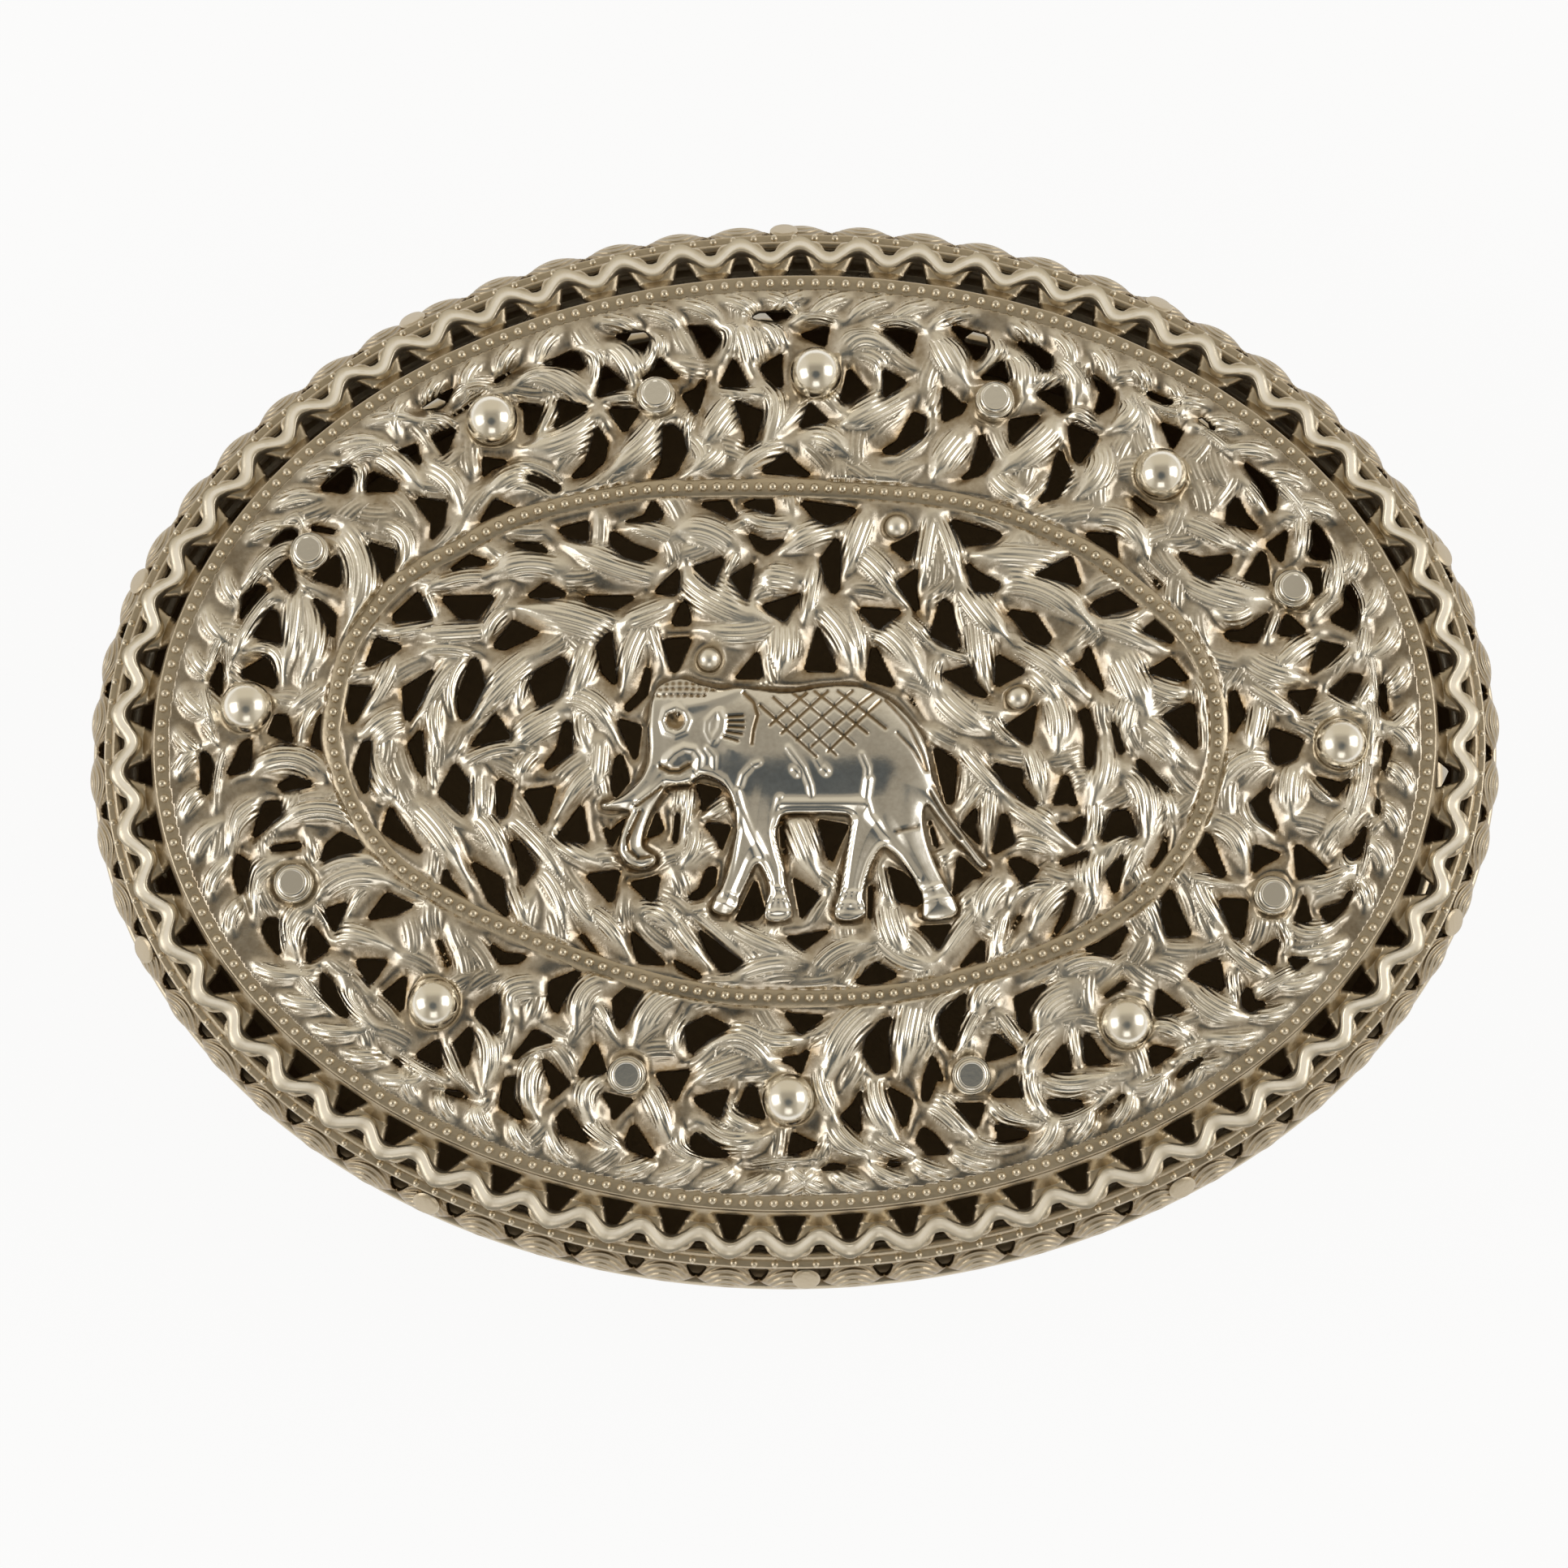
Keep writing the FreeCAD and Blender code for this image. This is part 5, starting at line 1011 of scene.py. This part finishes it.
# Beaded frame
FRAME_STEPS = 480
FRAME_BEAD_PITCH = 1.08
FRAME_BEAD_RADIUS = 0.37
FRAME_BEAD_LIFT = -0.04
FRAME_SECTION = ((0.7, -0.6), (0.62, -0.36), (0.48, -0.22), (0.3, -0.16), (0.15, -0.14), (0, -0.13),
                 (-0.15, -0.14), (-0.3, -0.16), (-0.48, -0.22), (-0.62, -0.36), (-0.7, -0.6))
BEAD_STEPS = 6
path = evenly(frame_path, FRAME_STEPS)
run = np.roll(path, -1, 0) - np.roll(path, 1, 0)
out = np.stack([run[:, 1], -run[:, 0]], -1) / np.linalg.norm(run, axis=1)[:, None]
section = np.array(FRAME_SECTION)
flat = path[:, None] + out[:, None] * section[None, :, :1] * FRAME_WIDE
rows = on_dome(flat[..., 0], flat[..., 1], section[None, :, 1])
walk = np.linalg.norm(np.diff(np.concatenate([path, path[:1]]), axis=0), axis=1).sum()
parts = []
bead = ball_mesh(FRAME_BEAD_RADIUS, BEAD_STEPS)
for spot in evenly(frame_path, int(walk / FRAME_BEAD_PITCH)):
    parts.append(placed(bead, on_dome(*spot, FRAME_BEAD_LIFT), dome_axis(*spot)))
piece("frame_strip", swept(rows), matted, "lid", "chased_silver", ("frame_wire",), sharp=STRIP_SHARP)
piece("frame_beads", joined(parts), beaded, "lid", "polished_silver")


# Studs on the panel
def studs(name, spots, mesh, material, node, sunk):
    """A set of like studs standing on the panel."""
    parts = []
    for spot in plan(spots):
        axis = dome_axis(*spot)
        parts.append(placed(mesh, on_dome(*spot, 0) - sunk * axis, axis))
    piece(name, joined(parts), material, "lid", "polished_silver", (node,), sharp=STUD_SHARP)


BERRY_RADIUS = 2.0
BERRY_STEPS = 24
BERRY_LIFT_SHARE = 0.2
PEG_PROFILE = ((0, -0.8), (1.55, -0.8), (1.55, 0.2), (1.5, 0.42), (1.4, 0.52), (1.28, 0.5), (1.22, 0.44),
               (1.2, 0.5), (1.2, 0.86), (1.15, 1.0), (1.06, 1.07), (0.96, 1.08), (0.9, 1.02), (0.85, 1.02),
               (0, 1.02))
PEG_STEPS = 48
BUD_RADIUS = 0.9
BUD_STEPS = 16
BUD_SUNK_SHARE = 0.25
studs("berry_balls", BERRIES_PX, ball_mesh(BERRY_RADIUS, BERRY_STEPS), ball, "berry_studs",
      -BERRY_RADIUS * BERRY_LIFT_SHARE)
studs("flower_centres", PEGS_PX, lathe(PEG_PROFILE, PEG_STEPS), bright, "flower_pegs", 0)
studs("bud_balls", BUDS_PX, ball_mesh(BUD_RADIUS, BUD_STEPS), satin, "small_buds",
      BUD_RADIUS * BUD_SUNK_SHARE)


# Plain and beaded wires round the box
RING_STEPS = 720


def wire(node, wide, radius):
    """Wire of rounded section that lies where a CAD node does."""
    low, high = levels(node)
    inset = inset_of(node)
    outline = rounded(((inset, low), (inset, high), (inset + wide, high), (inset + wide, low)), radius)
    angle = angles_at(inset, np.arange(RING_STEPS) / RING_STEPS)
    return swept(on_oval(outline[None, :, 0], angle[:, None], outline[None, :, 1]))


def outward(inset, angle):
    """Level direction square to the oval."""
    a, b = HALF - inset
    way = np.array((b * math.cos(angle), a * math.sin(angle), 0))
    return way / np.linalg.norm(way)


def beads(inset, count, radius, z, lean):
    """Row of small beads round the box, leaning outward."""
    mesh = ball_mesh(radius, BEAD_STEPS)
    parts = []
    for angle in angles_at(inset, np.arange(count) / count):
        axis = outward(inset, angle) * math.sin(lean) + np.array((0, 0, math.cos(lean)))
        parts.append(placed(mesh, on_oval(inset, angle, z), axis))
    return joined(parts)


RING_LAP = 0.3
UPPER_RING_WIDE = UPPER_BEAD_WIDE + RING_LAP
RING_ROUND = 0.15
RIM_ROUND = 0.3
SEAT_ROUND = 0.6
BEZEL_ROUND = 0.3
FOOT_ROUND = 0.7
UPPER_BEADS = 228
UPPER_BEAD_RADIUS = 0.35
UPPER_BEAD_SHARE = 0.6
UPPER_BEAD_SUNK = 0.02
UPPER_BEAD_LEAN = 0.3
LOWER_BEADS = 186
LOWER_BEAD_RADIUS = 0.34
LOWER_BEAD_INSET = 1.62
LOWER_BEAD_SUNK = 0.2
LOWER_BEAD_LEAN = 0.6
upper_inset = inset_of("upper_bead_wire") + UPPER_BEAD_WIDE * UPPER_BEAD_SHARE
upper = beads(upper_inset, UPPER_BEADS, UPPER_BEAD_RADIUS, DOME_EDGE - UPPER_BEAD_SUNK, UPPER_BEAD_LEAN)
lower_level = levels("lower_bead_wire")[1] - LOWER_BEAD_SUNK
lower = beads(LOWER_BEAD_INSET, LOWER_BEADS, LOWER_BEAD_RADIUS, lower_level, LOWER_BEAD_LEAN)
BEADS = {"upper_bead_ring": ("upper_beads", upper), "lower_bead_ring": ("lower_beads", lower)}

# Name, CAD node, width, rounding, material, body and slot of each wire
WIRES = (
    ("upper_bead_ring", "upper_bead_wire", UPPER_RING_WIDE, RING_ROUND, matted, "lid", "chased_silver"),
    ("lower_bead_ring", "lower_bead_wire", LOWER_BEAD_WIDE, RING_ROUND, matted, "lid", "chased_silver"),
    ("lid_edge_wire", "lid_rim_wire", RIM_WIDE, RIM_ROUND, beaded, "lid", "plain_silver"),
    ("seat_wire", "base_seat", SEAT_WIDE, SEAT_ROUND, beaded, "base", "plain_silver"),
    ("bezel_collar", "base_bezel", SHEET, BEZEL_ROUND, matted, "base", "plain_silver"),
    ("foot_wire", "foot_ring", FOOT_WIDE, FOOT_ROUND, beaded, "base", "plain_silver"),
)
for name, node, wide, radius, material, body, slot in WIRES:
    piece(name, wire(node, wide, radius), material, body, slot, (node,), sharp=WIRE_SHARP)
    if name in BEADS:
        piece(*BEADS[name], beaded, body, "polished_silver")

# Wavy ribbon on the ledge, higher at its inner edge
WAVE_STEPS = 16
RIBBON_WIDE = 1.4
RIBBON_SWING = 0.62
RIBBON_LEAN = 2.2
RIBBON_SECTION_STEPS = 13
RIBBON_SUNK = 0.3
wave_low, wave_high = levels("wave_wire")
count = WAVES * WAVE_STEPS
share = np.linspace(0, 1, RIBBON_SECTION_STEPS)
outline = np.stack([RIBBON_WIDE * (share - 0.5),
                    wave_low + (wave_high - wave_low) * np.sin(np.pi * share ** RIBBON_LEAN)], -1)
ends = [[(side * RIBBON_WIDE / 2, wave_low - RIBBON_SUNK)] for side in (-1, 1)]
outline = np.concatenate([ends[0], outline, ends[1]])
steps = np.arange(count)
angle = angles_at(WAVE_INSET, steps / count + WAVE_PHASE / WAVES)
swing = RIBBON_SWING * np.cos(2 * np.pi * steps / WAVE_STEPS)
inset = WAVE_INSET - swing[:, None] + outline[None, :, 0]
rows = on_oval(inset, angle[:, None], outline[None, :, 1])
piece("wave_ribbon", swept(rows), ribbon, "lid", "polished_silver", ("wave_wire",), sharp=STRIP_SHARP)


# Pierced rings: shoulder, lid band and base side
RING_TONE = 0.6


def pierced_ring(profile, thick, cells, phase, around, across, holes, shape):
    """Sheet swept round the box with the same holes and relief in every cell."""
    profile = np.asarray(profile, float)
    length = np.concatenate([[0], np.cumsum(np.linalg.norm(np.diff(profile, axis=0), axis=1))])
    slope = np.gradient(profile, length, axis=0)
    slope /= np.linalg.norm(slope, axis=1)[:, None]
    middle_inset = profile[:, 0].mean()
    pitch = arc_table(middle_inset)[1][-1] / cells
    columns = (np.arange(around) / around - 0.5) * pitch
    s, q = np.meshgrid(columns, np.linspace(0, length[-1], across), indexing="ij")
    step = max(pitch / around, length[-1] / (across - 1))
    gap = np.full(s.shape, FAR)
    cut = np.zeros(s.shape, bool)
    near = np.stack([s, q], -1)
    for hole in holes(pitch, profile, length):
        away, spot, _, _ = nearest_on(hole, True, s, q)
        near = np.where((away < gap)[..., None], spot, near)
        gap = np.minimum(gap, away)
        cut ^= inside_of(hole, s, q)
    snapped = gap < step / 2
    gap = np.where(cut | snapped, 0, gap)
    rise, lane, mask = shape(s / pitch, q / length[-1], gap, pitch)
    s = np.where(snapped, near[..., 0], s)
    q = np.where(snapped, near[..., 1], q)

    def all_round(value):
        return np.tile(value, (cells, 1))

    walk = (np.arange(cells)[:, None, None] + phase) * pitch + s[None]
    angle = angles_at(middle_inset, walk.reshape(-1, across) / (cells * pitch))
    curves = np.hstack([profile, slope]).T
    inset, z, lean_in, lean_up = (all_round(np.interp(q, length, row)) for row in curves)
    rise = all_round(rise)
    top = on_oval(inset - rise * lean_up, angle, z + rise * lean_in).reshape(-1, 3)
    under = on_oval(inset + thick * lean_up, angle, z - thick * lean_in).reshape(-1, 3)
    index = np.arange(len(top)).reshape(-1, across)
    faces = grid_faces(np.concatenate([index, index[:1]]), all_round(~cut | snapped).ravel())
    tone = np.clip(1 + rise / RING_TONE, 0, 1).ravel()
    lane, mask = (all_round(value).ravel() for value in (lane, mask))
    top, faces, under, *marks = pruned(top, faces, under, tone, lane, mask)
    return shell(top, under, faces), {key: np.tile(mark, 2) for key, mark in zip(MARKS, marks)}


def curve_through(low, high, share, insets, steps=24):
    """Profile through three insets, the middle one at a share of the height."""
    height = np.linspace(0, 1, steps)
    first = insets[0] * (height - share) * (height - 1) / share
    second = insets[1] * height * (height - 1) / (share * (share - 1))
    third = insets[2] * height * (height - share) / (1 - share)
    return np.stack([first + second + third, low + (high - low) * height], -1)


WINDOW_INSETS = (3.0, 4.95)
WINDOW_WIDE = 2.8
WINDOW_TIP_SHARE = 0.25
CRESCENT_INSETS = (1.98, 2.95)
CRESCENT_WIDE = 2.2
CRESCENT_TIP_SHARE = 0.2
WINDOW_ROUND = 0.25
WINDOW_ROUND_WIDE = 0.5
SHOULDER_FOOT_INSET = 1.85
SHOULDER_EDGE_INSETS = (2.1, 2.35)
SHOULDER_EDGE_DROP = 0.2
SHOULDER_STEPS = (28, 40)
shoulder_low, shoulder_high = levels("lid_shoulder")
ledge = shoulder_low + LEDGE_RISE
shoulder_profile = (
    (SHOULDER_FOOT_INSET, shoulder_low), (SHOULDER_EDGE_INSETS[0], ledge - SHOULDER_EDGE_DROP),
    (SHOULDER_EDGE_INSETS[1], ledge), (LEDGE_END, ledge), (SHOULDER_TOP_INSET, shoulder_high),
)


def blunt_triangle(middle, half, flat, tip, tip_share):
    """Triangle with its tip cut off."""
    return np.array(((middle - half, flat), (middle + half, flat), (middle + tip_share * half, tip),
                     (middle - tip_share * half, tip)))


def shoulder_holes(pitch, profile, length):
    """Triangles above the wave and below it."""
    tip, flat = np.interp(WINDOW_INSETS, profile[:, 0], length)
    yield blunt_triangle(0, WINDOW_WIDE / 2, flat, tip, WINDOW_TIP_SHARE)
    flat, tip = np.interp(CRESCENT_INSETS, profile[:, 0], length)
    for middle in (-pitch / 2, pitch / 2):
        yield blunt_triangle(middle, CRESCENT_WIDE / 2, flat, tip, CRESCENT_TIP_SHARE)


def shoulder_shape(s, q, gap, pitch):
    """Edges of the windows rounded over."""
    plain = np.zeros(s.shape)
    return WINDOW_ROUND * swell(gap, WINDOW_ROUND_WIDE) - WINDOW_ROUND, plain, plain


mesh, marks = pierced_ring(shoulder_profile, SHOULDER_SHEET, WAVES, WAVE_PHASE, *SHOULDER_STEPS,
                           shoulder_holes, shoulder_shape)
# Its underside takes the inside silver, painted shade over tarnish
piece("shoulder_ring", mesh, matted, "lid", "chased_silver", ("lid_shoulder",), sharp=WIRE_SHARP,
      underside_material=inside_tarnish_and_shade, **marks)

LEAF_HOLE = (1.9, 2.0)
LEAF_HOLE_SHARE = 0.62
LEAF_ARC_SHARE = 0.2
BAND_DEPTH = 0.78
BAND_LEAF_POWER = 0.7
BAND_LEAF_SHARES = (0.55, 0.45)
BAND_LEAF_STRETCH = 1.1
BAND_HOLE_ROUND = (0.3, 0.6)
BAND_LINE_SHARES = (0.4, 0.8)
BAND_STEPS = (24, 24)
band_low, band_high = levels("lid_band")
band_tall = band_high - band_low
band_profile = curve_through(band_low, band_high, BAND_BULGE_SHARE, (BAND_FOOT_INSET, 0, BAND_TOP_INSET))


def hole_ends(middle, tall, profile, length):
    """Where a hole of some height starts and ends along a profile."""
    return np.interp((middle - tall / 2, middle + tall / 2), profile[:, 1], length)


def band_holes(pitch, profile, length):
    """One small hole between each pair of leaves."""
    low, high = hole_ends(band_low + LEAF_HOLE_SHARE * band_tall, LEAF_HOLE[1], profile, length)
    yield np.array(((-LEAF_HOLE[0] / 2, high), (LEAF_HOLE[0] / 2, high), (0, low)))


def band_shape(s, q, gap, pitch):
    """Bulging leaves with engraved arcs."""
    hump = np.abs(np.sin(np.pi * s)) ** BAND_LEAF_POWER
    arch = BAND_LEAF_SHARES[0] + BAND_LEAF_SHARES[1] * np.sin(np.pi * np.clip(q * BAND_LEAF_STRETCH, 0, 1))
    rise = -BAND_DEPTH * (1 - hump * arch) * swell(gap + BAND_HOLE_ROUND[0], BAND_HOLE_ROUND[1])
    lane = np.hypot((0.5 - np.abs(s)) * pitch, (q - LEAF_ARC_SHARE) * band_tall) * PX_PER_MM
    return rise, lane, eased(hump, *BAND_LINE_SHARES)


mesh, marks = pierced_ring(band_profile, SHEET, WAVES, WAVE_PHASE + 0.5, *BAND_STEPS, band_holes, band_shape)
# Its underside takes the inside silver, painted shade over tarnish
piece("leaf_band", mesh, banded, "lid", "chased_silver", ("lid_band",), underside_material=inside_tarnish_and_shade, **marks)

BASE_HOLE = (3.6, 4.0)
BASE_ROW_SHARES = (0.3, 0.68)
BASE_SWELL = 0.45
BASE_SWELL_WIDE = 1.1
BASE_VEIN_SHARES = (0.7, 0.3)
BASE_SUNK = 0.1
BASE_END_SHARES = (0.02, 0.98)
BASE_END_POWER = 0.3
BASE_LINE_SLANT = 6
BASE_LINE_SCALE = 0.5
BASE_LINE_SHARES = (0.3, 0.8)
BASE_LINE_GAPS = (0.2, 0.6)
BASE_LINE_ENDS = (0.44, 0.48)
BASE_STEPS = (48, 72)
base_low, base_high = levels("base_wall")
base_profile = curve_through(base_low, base_high, BASE_BULGE_SHARE,
                             (BASE_BOTTOM_INSET, inset_of("base_wall"), BASE_TOP_INSET))


def base_holes(pitch, profile, length):
    """Two staggered rows of triangles, point up below and point down above."""
    half = BASE_HOLE[0] / 2
    for row, share in enumerate(BASE_ROW_SHARES):
        low, high = hole_ends(base_low + share * (base_high - base_low), BASE_HOLE[1], profile, length)
        flat, point = (low, high) if row == 0 else (high, low)
        for middle in (0,) if row == 0 else (-pitch / 2, pitch / 2):
            yield np.array(((middle - half, flat), (middle + half, flat), (middle, point)))


def base_shape(s, q, gap, pitch):
    """Leaves swelling between the windows."""
    vein = np.abs(np.sin(2 * np.pi * s + np.pi * q))
    rise = BASE_SWELL * swell(gap, BASE_SWELL_WIDE) * (BASE_VEIN_SHARES[0] + BASE_VEIN_SHARES[1] * vein)
    rise = (rise - BASE_SUNK) * np.sin(np.pi * np.clip(q, *BASE_END_SHARES)) ** BASE_END_POWER
    lane = (s * pitch - q * BASE_LINE_SLANT) * PX_PER_MM * BASE_LINE_SCALE
    mask = eased(vein, *BASE_LINE_SHARES) * eased(gap, *BASE_LINE_GAPS)
    return rise, lane, mask * (1 - eased(np.abs(s), *BASE_LINE_ENDS))


mesh, marks = pierced_ring(base_profile, SHEET, BASE_CELLS, 0, *BASE_STEPS, base_holes, base_shape)
# Its inner face takes the inside silver, painted shade over tarnish
piece("base_side", mesh, banded, "base", "chased_silver", ("base_wall",), underside_material=inside_tarnish_and_shade, **marks)

# Floor plate
PLATE_STEPS = (16, 240)
PLATE_EYE_SHARE = 0.0005
floor_low, floor_high = levels("base_floor")
turn = np.linspace(0, 2 * np.pi, PLATE_STEPS[1], endpoint=False)
rim = on_oval(inset_of("base_floor"), turn, 0)
disc = np.concatenate([rim * share for share in np.linspace(1, PLATE_EYE_SHARE, PLATE_STEPS[0])])
index = np.arange(len(disc)).reshape(PLATE_STEPS)
index = np.concatenate([index, index[:, :1]], 1).T
faces = grid_faces(index, np.ones(len(disc), bool))[:1]
plate = shell(disc + (0, 0, floor_high), disc + (0, 0, floor_low), faces)
# The plate's upper face, inside the box, takes the inside silver, painted shade over tarnish; its underside
# takes the satin silver, a shaded and a lit copy of one metal
piece("floor_plate", plate, inside_tarnish_and_shade, "base", "plain_silver", ("base_floor",), sharp=STUD_SHARP, underside_material=satin)

# Flat pegs on the band
BAND_PEGS = 10
BAND_PEG_TURN_SHARE = 0.75
BAND_PEG_RADIUS = 1.1
BAND_PEG_LEAN = 0.7
BAND_PEG_INSET = 0.75
BAND_PEG_SHARE = 0.7
BAND_PEG_STEPS = 32
PEG_FOOT = -0.6
PEG_SIDE = 0.14
PEG_BEVELS = ((0.14, 0.27), (0.3, 0.3))
profile = [(0, PEG_FOOT), (BAND_PEG_RADIUS, PEG_FOOT), (BAND_PEG_RADIUS, PEG_SIDE)]
profile += [(BAND_PEG_RADIUS - inward, level) for inward, level in PEG_BEVELS]
peg = lathe(profile + [(0, PEG_BEVELS[-1][1])], BAND_PEG_STEPS)
peg_level = band_low + BAND_PEG_SHARE * band_tall
parts = []
for angle in angles_at(0, np.arange(BAND_PEGS) / BAND_PEGS + BAND_PEG_TURN_SHARE):
    axis = outward(0, angle) + np.array((0, 0, BAND_PEG_LEAN))
    parts.append(placed(peg, on_oval(BAND_PEG_INSET, angle, peg_level), axis))
piece("band_studs", joined(parts), matted, "lid", "polished_silver", ("band_pegs",), sharp=STUD_SHARP)

# Camera at the photograph's angle
ELEVATION = math.radians(81)
ROLL = math.radians(1.2)
DISTANCE = 900
PX_PER_MM_SEEN = 15.8
PICTURE_PX = 1932
SENSOR = 36
CLIP_START = 0.01
SEEN_MIDDLE_PX = np.array((979.5, 928.4))
right = np.array((1.0, 0, 0))
upward = np.array((0, math.sin(ELEVATION), math.cos(ELEVATION)))
toward = np.array((0, -math.cos(ELEVATION), math.sin(ELEVATION)))
cam_right = right * math.cos(ROLL) - upward * math.sin(ROLL)
cam_up = upward * math.cos(ROLL) + right * math.sin(ROLL)
shift = (SEEN_MIDDLE_PX - PICTURE_PX / 2) / PX_PER_MM_SEEN
aim = np.array((0, 0, band_low + BAND_BULGE_SHARE * band_tall)) - shift[0] * cam_right + shift[1] * cam_up
lens = bpy.data.cameras.new("camera")
lens.sensor_width = SENSOR
lens.lens = PX_PER_MM_SEEN * DISTANCE * SENSOR / PICTURE_PX
lens.clip_start = CLIP_START
camera = bpy.data.objects.new("camera", lens)
bpy.context.scene.collection.objects.link(camera)
spot = (aim + toward * DISTANCE) * MM
turned = np.stack([cam_right, cam_up, toward], 1)
camera.matrix_world = Matrix(np.block([[turned, spot[:, None]], [0, 0, 0, 1]]).tolist())
bpy.context.scene.camera = camera
bpy.context.scene.view_settings.view_transform = "Standard"

# Pale floor that stays white to the camera, fades under the box and keeps the shadow
FLOOR_SIZE = 4
FLOOR_GLOW_SHARE = 0.92
PAPER = (0.86, 0.85, 0.83)
SHADE_SHIFT = 4.2
SHADE_HALF = (55.5, 43.0)
SHADE_FADE_SHARE = 0.95
bpy.ops.mesh.primitive_plane_add(size=FLOOR_SIZE)
floor = bpy.context.object
floor.name = "floor"
paper = bpy.data.materials.new("white_paper")
paper.use_nodes = True
tree = paper.node_tree
tree.nodes.clear()
rays = add(tree, "ShaderNodeLightPath").outputs
seen = maths(tree, "MAXIMUM", rays["Is Camera Ray"], rays["Is Glossy Ray"])
seen = maths(tree, "MAXIMUM", seen, rays["Is Transmission Ray"])
footprint = add(tree, "ShaderNodeMapping", {
    "Vector": add(tree, "ShaderNodeTexCoord").outputs["Object"],
    "Location": (0, SHADE_SHIFT * MM, 0),
    "Scale": (SHADE_HALF[0] * MM, SHADE_HALF[1] * MM, 1),
}, vector_type="TEXTURE").outputs[0]
far = add(tree, "ShaderNodeVectorMath", {0: footprint}, operation="LENGTH").outputs["Value"]
open_floor = add(tree, "ShaderNodeMapRange", {"Value": far, "From Min": SHADE_FADE_SHARE, "From Max": 1.0})
glowing = maths(tree, "MULTIPLY", maths(tree, "MULTIPLY", seen, open_floor.outputs[0]), FLOOR_GLOW_SHARE)
matte = add(tree, "ShaderNodeBsdfDiffuse", {"Color": PAPER + (1,)}).outputs[0]
glow = add(tree, "ShaderNodeEmission").outputs[0]
mixed = add(tree, "ShaderNodeMixShader", {0: glowing, 1: matte, 2: glow}).outputs[0]
add(tree, "ShaderNodeOutputMaterial", {0: mixed})
floor.data.materials.append(paper)

# Studio: a pale tent, brighter at the sides and the back, with a dark patch above the front
TENT = (0.4, 0.36, 0.29)
TENT_TOP = (0.34, 0.308, 0.25)
TENT_SIDE = (0.7, 0.655, 0.57)
TENT_BACK = (0.62, 0.565, 0.46)
TENT_PATCH = (0.09, 0.1, 0.104)
TOP_FADE = (0.5, 0.88)
BACK_FADE = (0.2, 0.7)
SIDE_FADE = (0.4, 0.75)
PATCH_FADE = (0.92, 0.985)
PATCH_WAY = (0, -0.34, 0.94)
world = bpy.data.worlds.new("studio")
bpy.context.scene.world = world
world.use_nodes = True
tree = world.node_tree
tree.nodes.clear()


def ramp_mix(value, fade, first, second):
    """Colour that goes from first to second as a value passes through a fade."""
    ends = {"Value": value, "From Min": fade[0], "From Max": fade[1]}
    share = add(tree, "ShaderNodeMapRange", ends, interpolation_type="SMOOTHSTEP").outputs[0]
    made = add(tree, "ShaderNodeMix", {"Factor": share}, data_type="RGBA")
    for socket, colour in (("A_Color", first), ("B_Color", second)):
        target = next(i for i in made.inputs if i.identifier == socket)
        feed(tree, target, colour + (1,) if isinstance(colour, tuple) else colour)
    return next(o for o in made.outputs if o.identifier == "Result_Color")


way = add(tree, "ShaderNodeTexCoord").outputs["Generated"]
along = add(tree, "ShaderNodeSeparateXYZ", {0: way}).outputs
sideways = maths(tree, "ABSOLUTE", along["X"], 0.0)
facing = add(tree, "ShaderNodeVectorMath", {0: way, 1: PATCH_WAY}, operation="DOT_PRODUCT").outputs["Value"]
tent = ramp_mix(along["Z"], TOP_FADE, TENT, TENT_TOP)
tent = ramp_mix(along["Y"], BACK_FADE, tent, TENT_BACK)
tent = ramp_mix(sideways, SIDE_FADE, tent, TENT_SIDE)
tent = ramp_mix(facing, PATCH_FADE, tent, TENT_PATCH)
add(tree, "ShaderNodeOutputWorld", {0: add(tree, "ShaderNodeBackground", {"Color": tent}).outputs[0]})

# Softboxes: name, place, size in metres and strength
SOFTBOXES = (
    ("left_softbox", (-0.75, -0.1, 0.5), 0.55, 1.6),
    ("right_softbox", (0.75, 0.05, 0.5), 0.55, 1.85),
    ("front_softbox", (0.0, -0.9, 0.5), 0.45, 0.95),
)
for name, place, size, strength in SOFTBOXES:
    lamp = bpy.data.lights.new(name, "AREA")
    lamp.size = size
    lamp.energy = strength * math.pi * size ** 2
    holder = bpy.data.objects.new(name, lamp)
    bpy.context.scene.collection.objects.link(holder)
    holder.location = place
    holder.rotation_euler = (-Vector(place)).to_track_quat("-Z", "Y").to_euler()
